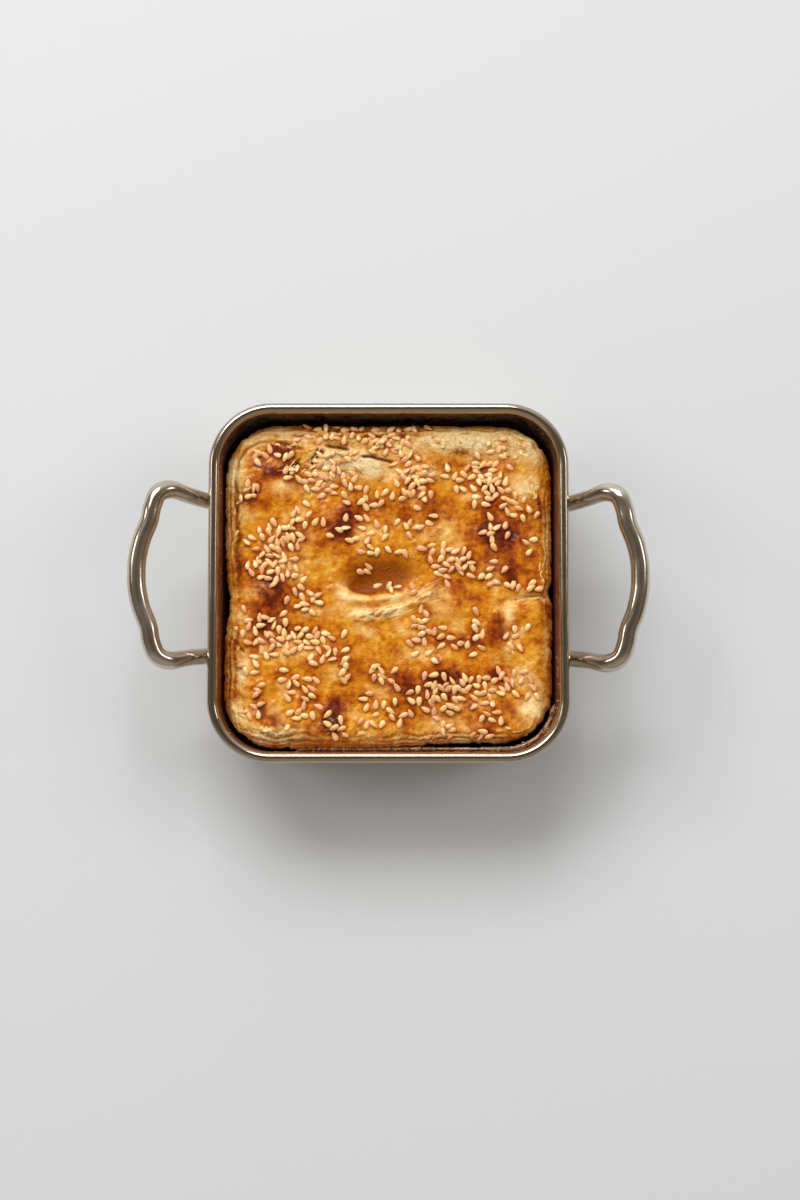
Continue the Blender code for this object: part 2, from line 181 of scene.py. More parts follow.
def model_dish(material):
    """A quarter of the dish is the profile spun round a corner and drawn out to both middle planes."""
    points = [Vector((half, REACH, height)) for half, height in dish_profile()]
    draw_line(points)
    bpy.ops.mesh.select_all(action="SELECT")
    bpy.ops.mesh.spin(steps=28, angle=math.pi / 2, center=(REACH, REACH, 0), axis=(0, 0, -1))
    tiny = 0.01 * MM
    select_where(lambda p: abs(p.x - REACH) < tiny, "EDGE")
    bpy.ops.mesh.extrude_region_move(TRANSFORM_OT_translate={"value": (-REACH, 0, 0)})
    select_where(lambda p: abs(p.y - REACH) < tiny and p.x > REACH, "EDGE")
    bpy.ops.mesh.extrude_region_move(TRANSFORM_OT_translate={"value": (0, -REACH, 0)})
    set_mode("OBJECT")
    bpy.ops.object.transform_apply(location=True, rotation=True, scale=True)
    apply_modifier("MIRROR", use_axis=(True, True, False), merge_threshold=0.00001)
    set_mode("EDIT")
    flat = fillet_centre()[0] + tiny
    for floor in (0.0, SHEET):
        select_where(lambda p: abs(p.z - floor) < tiny and max(abs(p.x), abs(p.y)) < flat, "EDGE")
        bpy.ops.mesh.edge_face_add()
    face_outward()
    bpy.ops.object.shade_smooth_by_angle(angle=math.radians(35))
    mesh = active().data
    set_attribute(mesh, "inside", [float(on_inside(vert.co)) for vert in mesh.vertices])
    return name_piece("dish_sheet", material)


# Handles

ROOT_SIDE, ROOT_HEIGHT = 25.8 * MM, 33.0 * MM
HANDLE_SHIFTS = {-1: 1.9 * MM, 1: 1.0 * MM}    # how far each handle sits towards the back
ROD_RADIUS, GRIP_RADIUS, FOOT_RADIUS = 2.74 * MM, 3.10 * MM, 3.5 * MM    # round, so inside the faceted rods
GRIP_FROM, GRIP_FULL, FOOT_LENGTH, FOOT_FLARE = 66.0 * MM, 74.0 * MM, 1.4 * MM, 2.4 * MM
ROD_POINTS = 70
GAP = 0.3 * MM                     # clearance of the solids, which the welded foot closes
# Places along half a handle, from past its foot to the middle of the grip, in millimetres
HANDLE_PLACES = (
    (62.5, 26.4, 35.3), (67.2, 27.3, 39.9), (72.0, 28.4, 44.0), (75.9, 26.8, 46.3), (77.8, 22.4, 47.1),
    (78.8, 17.4, 47.4), (81.1, 11.4, 47.5), (82.5, 5.2, 47.5), (82.75, 0.0, 47.5),
)


def handle_foot():
    """Middle of the foot on the wall, and the direction in which the rod leaves it."""
    out = Vector((math.cos(WALL_DRAFT), 0, -math.sin(WALL_DRAFT)))
    return Vector((wall_half(ROOT_HEIGHT, SHEET), ROOT_SIDE, ROOT_HEIGHT)), out


def handle_route():
    foot, out = handle_foot()
    return [foot + out * (GAP + FOOT_LENGTH)] + [Vector(place) * MM for place in HANDLE_PLACES]


def smooth_route(route, count):
    """Points on a smooth curve through the route, which goes on mirrored past its last place."""
    mirrored = route[-2].copy()
    mirrored.y = -mirrored.y
    padded = [route[0] * 2 - route[1]] + route + [mirrored]
    points = []
    for index in range(count):
        place = index / (count - 1) * (len(route) - 1)
        span = min(int(place), len(route) - 2)
        t = place - span
        a, b, c, d = padded[span:span + 4]
        points.append(0.5 * (2 * b + (c - a) * t + (2 * a - 5 * b + 4 * c - d) * t * t
                             + (3 * b - a - 3 * c + d) * t ** 3))
    return points


def rod_radius(point):
    """Radius of the rod, which is thicker at the grip and flares where its foot is welded on."""
    grip = min(max((point.x - GRIP_FROM) / (GRIP_FULL - GRIP_FROM), 0.0), 1.0)
    foot = max(1 - (point - handle_foot()[0]).length / FOOT_FLARE, 0.0)
    body = ROD_RADIUS + (GRIP_RADIUS - ROD_RADIUS) * grip * grip * (3 - 2 * grip)
    return body + (FOOT_RADIUS - ROD_RADIUS) * foot * foot


def draw_tube(points, radii, roundness):
    """Round tube through the points, with its own radius at each, closed at both ends."""
    start_clean()
    bpy.ops.curve.primitive_nurbs_path_add(location=(0, 0, 0))
    curve = active().data
    curve.splines.clear()
    spline = curve.splines.new("POLY")
    spline.points.add(len(points) - 1)
    for target, point, radius in zip(spline.points, points, radii):
        target.co = (*point, 1.0)
        target.radius = radius
    curve.bevel_depth = 1.0
    curve.bevel_resolution = roundness
    curve.use_fill_caps = True
    bpy.ops.object.convert(target="MESH")
    set_mode("EDIT")
    bpy.ops.mesh.select_all(action="SELECT")
    bpy.ops.mesh.remove_doubles(threshold=0.001 * MM)
    face_outward()
    bpy.ops.object.shade_smooth_by_angle(angle=math.radians(50))


def model_handle(name, side, node, material):
    half = [handle_foot()[0]] + smooth_route(handle_route(), ROD_POINTS)
    route = half + [Vector((p.x, -p.y, p.z)) for p in reversed(half[:-1])]
    radii = [rod_radius(Vector((p.x, abs(p.y), p.z))) for p in route]
    draw_tube([(side * p.x, p.y + HANDLE_SHIFTS[side], p.z) for p in route], radii, 10)
    piece = name_piece(name, material)
    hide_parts(node)


# Crust relief: places and sizes in millimetres on the crust, seen from above. The main forms are the
# construction's own; what is finer than its facets is added below. A layer keeps one pattern of the same
# kind apart from the next.

def dome(x, y, cx, cy, rx, ry, turn=0.0):
    """Smooth bump of height one round a middle, with two half-lengths and a turn in degrees."""
    c, s = math.cos(math.radians(turn)), math.sin(math.radians(turn))
    u = ((x - cx) * c + (y - cy) * s) / rx
    v = ((y - cy) * c - (x - cx) * s) / ry
    return np.exp(-(u * u + v * v))


def along(x, y, route):
    """Signed distance to a line through the route's points, and a fade towards its two ends."""
    away, side, place = np.full_like(x, 1e9), np.ones_like(x), np.zeros_like(x)
    total = len(route) - 1
    for index, ((ax, ay), (bx, by)) in enumerate(zip(route, route[1:])):
        dx, dy = bx - ax, by - ay
        t = np.clip(((x - ax) * dx + (y - ay) * dy) / (dx * dx + dy * dy), 0, 1)
        gap = np.hypot(x - ax - t * dx, y - ay - t * dy)
        nearer = gap < away
        away = np.where(nearer, gap, away)
        side = np.where(nearer, np.where(dx * (y - ay) - dy * (x - ax) > 0, 1.0, -1.0), side)
        place = np.where(nearer, (index + t) / total, place)
    return away * side, np.minimum(1.0, 5 * np.minimum(place, 1 - place) + 0.15)


def step_across(away, width):
    """Rises from nothing to one across a line, mostly within the width on either side."""
    return 1 / (1 + np.exp(-np.clip(away / width, -30, 30)))


def ridge(x, y, route, width, height):
    """Rounded rise along the route."""
    away, fade = along(x, y, route)
    return height * fade * np.exp(-(away / width) ** 2)


def flap(x, y, route, reach, height):
    """Edge of an upper sheet: a sharp step on the left of the route that dies out over reach."""
    away, fade = along(x, y, route)
    return height * fade * step_across(away, FLAP_EDGE) * np.exp(-np.maximum(away, 0.0) / reach)


def cloud(x, y, size, layer):
    """Smooth unevenness between about -1 and 1, with lumps of the given size."""
    return np.array([noise.noise(Vector((a, b, layer))) for a, b in zip(x / size, y / size)])


def crumple(x, y, size, layer):
    """Sharp-crested unevenness, as of torn pastry leaves."""
    return np.array([1 - 2 * abs(noise.noise(Vector((a, b, layer)))) for a, b in zip(x / size, y / size)])


def blisters(x, y, size, layer):
    """Round-topped bubbles, one in each cell of a loose packing."""
    near = np.array([noise.voronoi(Vector((a, b, layer)))[0][0] for a, b in zip(x / size, y / size)])
    return np.clip(1 - (near / 0.5) ** 2, 0, 1)


# Steam hole and the pocket under its near lip: middle, half-lengths, turn and depth
HOLLOWS = ((-3.5, 1.6, 11.5, 5.2, 12.0, 2.6), (-9.5, -1.6, 5.0, 3.0, 15.0, 1.5))
# Ridges and, below zero, grooves: half-width, height and the line they follow. In this order: the lip of the
# hole, the wrinkle before it, the side fold, the ridge under it, the edge of the strip, the front fold and
# the creases along the left edge.
RIDGES = (
    (1.9, 1.1, ((-18, -2.0), (-12, -5.2), (-4, -5.6), (4, -4.4), (10, -1.0))),
    (1.3, 0.85, ((-14, -10.9), (-6, -10.2), (2, -8.9), (9, -6.6), (14, -2.4), (17.5, 2.5))),
    (1.2, -0.9, ((53.5, -5.6), (47, -5.0), (40, -5.6), (36.5, -7.5))),
    (2.0, 1.0, ((35.6, -8), (36.2, -14), (38.2, -20), (40.5, -26))),
    (1.5, -0.7, ((41.5, 22), (40.6, 14), (41.0, 6), (42.0, -3))),
    (2.0, 0.9, ((-46, -43), (-38, -48.6), (-29, -50.0), (-20, -51.5))),
    (1.2, -0.9, ((-51.5, 38), (-50.2, 30), (-51.2, 22), (-52, 12))),
    (1.2, -0.9, ((-49.4, 16), (-50.6, 8), (-49.6, 0), (-51, -8))),
    (1.2, -0.9, ((-51.0, -18), (-49.8, -27), (-50.6, -36), (-46, -45))),
)
# Torn upper leaves: reach, height and the line of the torn edge
FLAPS = (
    (6.0, 1.5, ((1.5, 41.4), (-5, 41.9), (-10, 44.3), (-16, 45.4), (-22, 46.2), (-29, 45.2), (-39, 47.2))),
    (5.0, 1.2, ((-30, 41.8), (-33, 39.6), (-36.5, 36.8))),
)
FLAP_EDGE, HOLE_EDGE_WIDTH = 0.45, 0.3
# Blisters and dips: middle, half-lengths and height
BLISTERS = (
    (-15.5, 21.5, 6.5, 5.5, 0.9), (35.5, 16.5, 5.5, 4.5, 0.9), (-39, -2.5, 7, 6, 0.7),
    (16.5, -29.5, 5, 4, 0.8), (-18.5, -43, 3.5, 4.5, 0.6), (-41.5, 33, 6.5, 7.5, 1.2),
    (-1, 29, 6, 5, 0.7), (25, -8, 7, 4, 0.6), (38, -16, 3, 7, -0.5), (31, 30, 8, 7, 0.8),
    (-30, 12, 5, 8, 0.4), (7, -22, 9, 6, -0.4),
)
# Torn near edge of the hole, which stands up over its floor, with its reach and height, and that floor's
# middle, half-lengths and turn
HOLE_EDGE = ((8.4, 0.8), (3.5, -2.3), (-2, -3.5), (-7.3, -4.0), (-11, -3.3), (-14.2, -1.6))
HOLE_EDGE_REACH, HOLE_EDGE_HEIGHT = 2.6, 0.8
HOLE_FLOOR = (-2.6, 2.4, 12.0, 6.2, 8.0)
WRINKLE = RIDGES[1][2]
WRINKLE_SIDE, WRINKLE_WIDTH = -0.8, 2.4    # where its folds are deepest, beside its line, and how far they go
WRINKLE_ALONG = (0.94, 0.34)               # its direction
# Where the pleats of the crust's edge begin, from the middle, and over what length they grow
EDGE_ZONE, EDGE_FADE = 46, 5
# Dents in the crust's outline: direction from the middle, half-width and depth as a share of the radius
DENTS = ((-0.055, 0.045, 0.022), (-1.10, 0.35, 0.032), (-3.03, 0.16, 0.030))


def swell(x, y):
    """Low, wide unevenness of the whole lid."""
    return 0.85 * cloud(x, y, 19, 3.1) + 0.35 * cloud(x, y, 8.5, 7.7)


def main_relief(x, y):
    """Height of the lid's main forms over its flat top."""
    total = swell(x, y)
    for cx, cy, rx, ry, turn, depth in HOLLOWS:
        total -= depth * dome(x, y, cx, cy, rx, ry, turn)
    for width, height, route in RIDGES:
        total += ridge(x, y, route, width, height)
    for reach, height, route in FLAPS:
        total += flap(x, y, route, reach, height)
    for cx, cy, rx, ry, height in BLISTERS:
        total += height * dome(x, y, cx, cy, rx, ry)
    return np.where(total > 0, RELIEF_LIMIT * np.tanh(total / RELIEF_LIMIT), total)


# Where the leaves of the pastry are torn and rough, where they were left unglazed and where they browned
# most, with a few pale and lightened patches that are painted highlight: middle, half-lengths and amount
FLAKY = (
    (-14, 49.5, 34, 3.5, 0.8), (-17, 41.5, 9, 4.5, 0.8), (-5, 39.5, 7, 3.5, 0.6), (33, 47, 22, 5, 1.0),
    (47, 30, 6, 10, 0.6), (12, 38, 6, 4, 0.7), (-38, -50.5, 15, 4, 1.0), (18, -51.5, 28, 3, 0.8),
    (-51.5, 24, 3.4, 18, 1.0), (-33, 39, 5, 4, 0.8), (44, -31, 5, 4, 0.5), (-22, 37, 6, 4, 0.6),
    (-51.5, -28, 3.4, 16, 0.8), (-2.5, 47.5, 6, 2.5, 0.8), (53.0, 8, 2.0, 16, 0.7), (49, -48, 5, 4, 0.4),
)
PALE = (
    # Painted highlight along the hole's near lip: the next four patches are pale torn pastry, made paler
    # where the lip faces the light
    (-15.2, -2.0, 1.8, 3.0, 0.7), (-11.2, -4.9, 4.4, 1.6, 0.95), (0, -5.0, 6, 1.6, 0.45),
    (7, -2.8, 4, 1.4, 0.35), (-15, 41.5, 7.5, 4.0, 1.2), (-5.5, 39.5, 5.5, 3.5, 0.8),
    (-21.5, 42.0, 4, 3.2, 0.9), (-46, 48, 5, 3.5, 0.7), (-51.5, 37, 2.8, 6, 0.8), (26, 47.5, 17, 3.6, 1.0),
    (42, 46, 9, 5, 0.8), (12.4, 37.4, 4.5, 2.2, 0.9), (17.5, 17.5, 5, 4, 0.35), (45.5, 32, 4, 3, 0.7),
    (53.5, 16, 0.9, 6, 0.7), (34.5, 6, 4, 1.6, 0.4), (-36, 33, 4, 1.8, 0.7), (-6, 17.5, 5, 2, 0.4),
    # Painted highlight along the wrinkle before the hole: this row's first three patches, where the glaze
    # glints
    (-9, -10.4, 4.5, 1.4, 0.60), (-1, -8.8, 5, 1.1, 0.40), (10, -5.5, 5, 0.9, 0.2),
    (-48.6, -29.0, 2.4, 5, 0.9), (-49, -11, 2.6, 2.4, 0.6), (-40, -51.0, 10, 2.6, 1.0),
    (-50, -43, 3, 4, 0.8), (-31, -22.5, 6, 3, 0.3), (48, -42.5, 4.8, 4.6, 1.3), (40.2, -10.5, 1.6, 4, 0.9),
    (39.7, -21.5, 1.2, 3.5, 0.7), (48.5, -4.6, 5.5, 0.8, 0.8), (43.5, -30.5, 4, 2.6, 0.6),
    (17.5, -8.5, 4, 3, 0.5), (9, -24, 5, 2, 0.3), (30, -40.5, 5, 2, 0.3), (19, -46.5, 7, 3, 0.4),
    (18, -52.8, 26, 1.3, 0.6), (-27, 31.5, 4, 2.5, 0.3), (33, 49, 18, 2, 0.6), (-53.4, 20, 1.0, 13, 0.35),
    (-33, 50.8, 9, 1.8, 0.6), (10, -3, 3.5, 1.2, 0.4), (-31, 8, 4, 8, 0.2), (-21, 34, 4, 3, 0.3),
    (32.5, 36.5, 4, 2.5, 0.4), (5, 44.5, 8, 2, 0.5), (52.5, -20, 0.9, 12, 0.5),
)
BROWNED = (
    (-14.5, 42.2, 8, 4, -0.40), (-5, 39.5, 6, 3, -0.24), (-20.5, 42, 5, 3.5, -0.28),
    (24, 47.5, 11, 3.5, -0.16), (42, 46.5, 5, 3, 0.22), (-13.9, 23.3, 3.4, 4.2, 0.52),
    (-15.5, 16.9, 5, 3.2, 0.46), (-18.5, 19, 9, 7, 0.22), (-34.5, 43.6, 4.5, 2.6, 0.42),
    (-36, 29.5, 5, 3, 0.12), (-3, 0.2, 9, 3.0, 0.10), (-39, 37.4, 3.4, 2.8, 0.30), (-42, 35, 7, 7, 0.24),
    (-48.6, 28, 3, 3, 0.30), (-33.9, 11.4, 2, 2, 0.3), (-42.5, -1, 5, 5, 0.30), (-38.6, -4.2, 6, 5.4, 0.46),
    (-39.5, -8.0, 5, 3.2, 0.28), (-15.2, 34, 2.5, 1.6, 0.35), (35.5, 16.6, 7.4, 5.0, 0.76),
    (33.7, 25, 4.4, 3.4, 0.36), (41, 9, 2.0, 8.0, 0.40), (34.6, 4, 4, 2.2, 0.22),
    (30.3, 38.2, 3, 2.6, 0.42), (34.6, 32.2, 2.4, 2.2, 0.45), (20.9, 39.9, 4, 1.8, 0.25),
    (26, 43.4, 3, 1.2, 0.25), (8.2, 31.4, 4.5, 4.5, 0.26), (7.7, 23.5, 6, 4, 0.24),
    (50.7, 25, 2.6, 5, 0.30), (3, 42.5, 4, 1.2, 0.25), (-44, -19.7, 2, 5, 0.28),
    (-40.5, -13.5, 5, 2.4, 0.28), (-18.2, -42.6, 3.2, 4.4, 0.85), (-18, -48.6, 3, 2.4, 0.38),
    (-28, -38, 4, 2.2, 0.30), (-39, -46.4, 5, 3.2, 0.26), (-42.4, -42.3, 2, 2, 0.42),
    (-8.8, -32.5, 7, 6, 0.22), (20.9, -29.5, 7, 4.0, 0.50), (6.9, -34.6, 7, 4.6, 0.32),
    (35.8, -16, 3, 7, 0.40), (30.5, -18, 5, 6, 0.20), (22.6, -19.3, 7, 2.6, 0.24), (19.7, -2, 6, 2.6, 0.20),
    (36.3, -30.5, 2.6, 2.6, 0.40), (40, -43, 4, 6, 0.24), (32.4, -48.7, 3.2, 1.6, 0.30),
    # (-9, -1.6) on this line darkens the pocket under the hole's near lip: painted shade
    (41, 1.5, 1.8, 2.4, 0.3), (52.6, -9.5, 1.6, 5, 0.22), (-4, 3.0, 11, 6, 0.14), (-9, -1.6, 5, 2.0, 0.25),
    (3.0, 2.5, 6.0, 3.5, 0.12), (53.0, -24, 2, 8, 0.15), (15, -37, 6, 5, 0.26), (26, 44, 5, 1.6, 0.20),
    (40, 38, 4, 3, 0.20), (46, 38, 3, 3, 0.12), (49.5, -38, 3, 3, 0.22), (-36.5, 37.5, 2, 1.2, 0.25),
    # Painted highlight: (0, -4.6), (-1, -9.3) and (9, -6.0) below lighten the hole's near lip and the wrinkle
    (-30, 17, 4, 5, 0.12), (25.5, 33, 4, 3, 0.15), (0, -4.6, 6, 1.3, -0.25), (-1, -9.3, 9, 1.6, -0.22),
    (9, -6.0, 5, 1.4, -0.2), (22.3, -33.5, 9, 4, 0.20), (-33.5, 41.0, 3, 2, 0.25), (49, 6, 4, 9, 0.12),
    (-50, 5, 2.0, 9, 0.28), (-22, -45.5, 4, 2.5, 0.2), (-50.5, -20, 2.0, 6, 0.20), (30.5, 8, 8, 4, 0.16),
    (28, 22, 5, 5, 0.12),
)
# Furrows at the foot of torn leaves, cut in and darkened with painted shade: half-width, depth of groove and
# of painted shade, and the line they follow
FURROWS = (
    (0.55, 0.9, ((-39, 47.9), (-34.5, 47.2), (-31.5, 45.8), (-28, 45.4))),
    (0.50, 0.6, ((-50.7, 35.6), (-50.3, 41.2), (-47.8, 45.2), (-43.4, 47.6), (-37.5, 48.0))),
    (0.80, 0.6, ((-14.0, -1.0), (-11, -2.4), (-7.3, -3.1), (-3, -2.6))),
    (0.65, 1.0, ((-22, 46.6), (-17, 45.8), (-12.6, 44.9))),
    (0.60, 1.0, ((-10.4, 42.8), (-6, 42.7), (-0.5, 41.4), (3, 40.2))),
    (1.30, 1.3, ((-35.2, 36.0), (-32.6, 38.6), (-29.7, 40.7))),
    (0.40, 1.0, ((-33.6, 38.9), (-31.0, 40.4), (-29.4, 42.2))),
    (1.15, 1.2, ((-27.0, 38.2), (-25.3, 41.6), (-21.4, 45.2))),
    (0.40, 1.0, ((-25.6, 40.6), (-24.6, 43.4), (-23.6, 46.0))),
    (0.70, 0.65, ((-51.8, 36), (-50.3, 29), (-51.2, 22))),
    (0.45, 0.6, ((54, -4.9), (49, -4.2), (44, -4.6))),
    (0.55, 0.6, ((36.5, -8), (37.2, -14), (38.8, -19))),
    (0.70, 0.55, ((-45.5, -39), (-41, -44.5), (-34, -47.8), (-27, -48.6))),
    (0.65, 0.65, ((-52.6, -17.6), (-50.2, -20.6), (-47.4, -23.8))),
    (0.75, 0.60, ((-49.4, 18), (-50.8, 11), (-49.8, 4), (-50.6, -3))),
)


def spread(x, y, places):
    """Sum of the amounts of the places round a point."""
    total = np.zeros_like(x)
    for cx, cy, rx, ry, amount in places:
        total += amount * dome(x, y, cx, cy, rx, ry)
    return total


def furrows(x, y):
    """How deep the furrows are at a place, and how dark the shade painted into them."""
    dark = np.zeros_like(x)
    for width, depth, route in FURROWS:
        dark = np.maximum(dark, ridge(x, y, route, width, depth))
    return dark


def edge_share(x, y):
    """Rises from nothing to one over the last few millimetres before the edge."""
    return np.clip((np.maximum(abs(x), abs(y)) - EDGE_ZONE) / EDGE_FADE, 0, 1)


def wrinkled(x, y):
    """How far a place lies in the wrinkle before the hole, where the skin is drawn into fine folds."""
    away, fade = along(x, y, WRINKLE)
    return fade * np.exp(-((away - WRINKLE_SIDE) / WRINKLE_WIDTH) ** 2)


def sunken(x, y):
    """How far a place lies in the steam hole, behind its near edge, whose floor is smooth and dull and gets
    painted shade.
    """
    away, _ = along(x, y, HOLE_EDGE)
    return np.clip(1.5 * step_across(-away, HOLE_EDGE_WIDTH) * dome(x, y, *HOLE_FLOOR), 0, 1)


def crinkles(x, y):
    """Crests of the wrinkle's fine folds, which run along it."""
    c, s = WRINKLE_ALONG
    u, v = c * x + s * y, c * y - s * x
    return wrinkled(x, y) * crumple(u / 3.2, v, 1.25, 4.4)


def fine_relief(x, y, flaky):
    """Wrinkled glaze, small bubbles and torn leaves, which the construction's facets can't hold."""
    total = 0.42 * flaky * crumple(x, y, 3.1, 1.7) + 0.26 * flaky * crumple(x, y, 1.3, 5.2)
    glossy = (1 - 0.8 * flaky) * (1 - 0.85 * sunken(x, y))
    total += flap(x, y, HOLE_EDGE, HOLE_EDGE_REACH, HOLE_EDGE_HEIGHT)
    total += 0.30 * glossy * cloud(x, y, 4.2, 9.4) + 0.11 * glossy * cloud(x, y, 1.8, 2.8)
    speckled = np.clip(0.35 + cloud(x, y, 9, 12.6) * 1.8, 0, 1) * glossy
    total += 0.26 * speckled * blisters(x, y, 2.4, 0.4)
    total += 0.5 * crinkles(x, y) + 0.16 * wrinkled(x, y) * blisters(x, y, 1.2, 3.3)
    turn = 16 * np.arctan2(y, x)
    pleats = np.array([noise.noise(Vector((a, b, 4.9))) for a, b in zip(turn, np.hypot(x, y) / 7)])
    edge = edge_share(x, y)
    total += 0.5 * flaky * edge * pleats + 0.30 * (1 - flaky) * edge * crumple(x, y, 2.3, 14.1)
    return total - 0.9 * furrows(x, y)


# Crust outline

def to_outline(a, b):
    """Places in the rounded square of the crust for points of the square -1..1."""
    half_x = np.where(a < 0, EDGE_HALF[0], EDGE_HALF[1])
    half_y = np.where(b > 0, EDGE_HALF[2], EDGE_HALF[3])
    corner = np.where(b > 0, np.where(a < 0, EDGE_CORNERS[0], EDGE_CORNERS[1]),
                      np.where(a < 0, EDGE_CORNERS[3], EDGE_CORNERS[2]))
    x, y = abs(a) * half_x, abs(b) * half_y
    u = np.maximum(x - half_x + corner, 0.0) / corner
    v = np.maximum(y - half_y + corner, 0.0) / corner
    x = x + corner * u * (np.sqrt(1 - v * v / 2) - 1)
    y = y + corner * v * (np.sqrt(1 - u * u / 2) - 1)
    return np.copysign(x, a), np.copysign(y, b)


def edge_wobble(angle):
    """How far the outline draws in at a direction from the middle, as a share of the radius."""
    x, y = np.cos(angle), np.sin(angle)
    total = 0.004 + 0.004 * cloud(4 * x, 4 * y, 1.0, 1.3)
    total += 0.013 * np.maximum(cloud(20 * x, 20 * y, 1.0, 6.1), 0) + 0.005 * cloud(70 * x, 70 * y, 1.0, 8.1)
    for middle, half, depth in DENTS:
        away = (angle - middle + math.pi) % (2 * math.pi) - math.pi
        total += depth * np.exp(-(away / half) ** 2)
    return total


def crust_places(a, b):
    """Places on the crust for points of the square -1..1, their strayed coordinates, by which the patches
    are laid, and how torn and how layered the pastry is there."""
    rim_share = np.maximum(abs(a), abs(b))
    x, y = to_outline(a, b)
    shrink = 1 - edge_wobble(np.arctan2(y, x)) * rim_share ** 6
    x, y = x * shrink, y * shrink
    fall = np.maximum(1 - (1 - rim_share) * EDGE_HALF[0] / SHOULDER, 0.0)
    drop = (PLATEAU - EDGE_HEIGHT) * (1 - np.sqrt(np.maximum(1 - fall ** SHOULDER_SQUARENESS, 0.0)))
    u, v = x / MM, y / MM
    warped_u = u + WARP * cloud(u, v, WARP_SIZE, 21.0)
    warped_v = v + WARP * cloud(u, v, WARP_SIZE, 31.0)
    flaky = np.clip(spread(warped_u, warped_v, FLAKY), 0, 1)
    lift = main_relief(0.6 * u + 0.4 * warped_u, 0.6 * v + 0.4 * warped_v) + fine_relief(u, v, flaky)
    layers = flaky * fall * np.sin(drop / MM * 6.5 + 4 * cloud(u, v, 6, 41.0))
    z = PLATEAU - drop + (lift * (1 - EDGE_CALM * fall ** 3) + 0.45 * layers) * MM
    return np.stack([x, y, z], 1), warped_u, warped_v, flaky, layers


def side_rings():
    """Scale and height of each ring down the side, from the crust's edge round to the flat underside."""
    across, height = fillet_centre()
    radius = FLOOR_FILLET - PIE_GAP
    edge = wall_half(EDGE_HEIGHT) - PIE_GAP
    rings = []
    for turn in (-WALL_DRAFT, -math.pi / 4, -math.pi / 2):
        half = across + radius * math.cos(turn)
        rings.append((half / edge, height + radius * math.sin(turn)))
    return rings


def mark_crust(mesh, places, u, v, flaky, layers):
    """Stores what the material reads: where the crust is torn, wet, sunken, furrowed, pale and browned. The
    pale includes a painted highlight on the tops of the wrinkle's folds, and the sunken and furrowed places
    get painted shade.
    """
    x, y = places[:, 0] / MM, places[:, 1] / MM
    hole = sunken(x, y)
    # Painted highlight: the tops of the wrinkle's fine folds are made pale, where the glaze glints
    crest_highlight = np.clip(crinkles(x, y) * 3.0 - 1.1, 0, 1) * np.clip(0.75 - x / 16, 0.25, 1)
    thin_glaze = 0.9 * (1 - hole) * np.clip(cloud(u, v, 6.5, 81.0) - 0.12, 0, 0.6)
    pale = np.clip(spread(u, v, PALE) + crest_highlight + thin_glaze + 0.8 * np.maximum(layers, 0), 0, 1)
    uneven = 0.30 * cloud(u, v, 10, 51.0) + 0.26 * cloud(u, v, 3.6, 61.0) + 0.14 * cloud(u, v, 1.5, 71.0)
    browned = BROWNED_ALL_OVER + spread(u, v, BROWNED) + (1 - 0.8 * hole) * uneven
    browned += 0.55 * np.maximum(-layers, 0)
    marks = {
        "flaky": flaky, "wet": wrinkled(x, y), "sunken": hole, "furrow_shade": furrows(x, y), "pale": pale,
        "browned": np.clip(browned - 0.16 * pale, 0, 1),
    }
    for mark, values in marks.items():
        set_attribute(mesh, mark, values)


def model_crust(material):
    """A fine grid laid over the pie, with its rim drawn down the side and closed underneath."""
    start_clean()
    bpy.ops.mesh.primitive_grid_add(x_subdivisions=CRUST_CELLS, y_subdivisions=CRUST_CELLS, size=2.0)
    mesh = active().data
    flat = np.zeros(len(mesh.vertices) * 3)
    mesh.vertices.foreach_get("co", flat)
    flat = flat.reshape(-1, 3)
    places, *patches = crust_places(flat[:, 0], flat[:, 1])
    mesh.vertices.foreach_set("co", places.ravel())
    mark_crust(mesh, places, *patches)
    set_mode("EDIT")
    bpy.ops.mesh.select_mode(type="EDGE")
    bpy.ops.mesh.select_all(action="DESELECT")
    bpy.ops.mesh.select_non_manifold(extend=False)
    last_scale = 1.0
    for scale, height in side_rings():
        share = scale / last_scale
        bpy.ops.mesh.extrude_region_move(TRANSFORM_OT_translate={"value": (0, 0, 0)})
        bpy.ops.transform.resize(value=(share, share, 0), center_override=(0, 0, height))
        last_scale = scale
    bpy.ops.mesh.edge_face_add()
    face_outward()
    bpy.ops.object.shade_smooth()
    piece = name_piece("crust", material)
    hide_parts("pie")
    return piece


# Seeds: each drift has its middle and two half-lengths, in millimetres, and how many seeds fell there

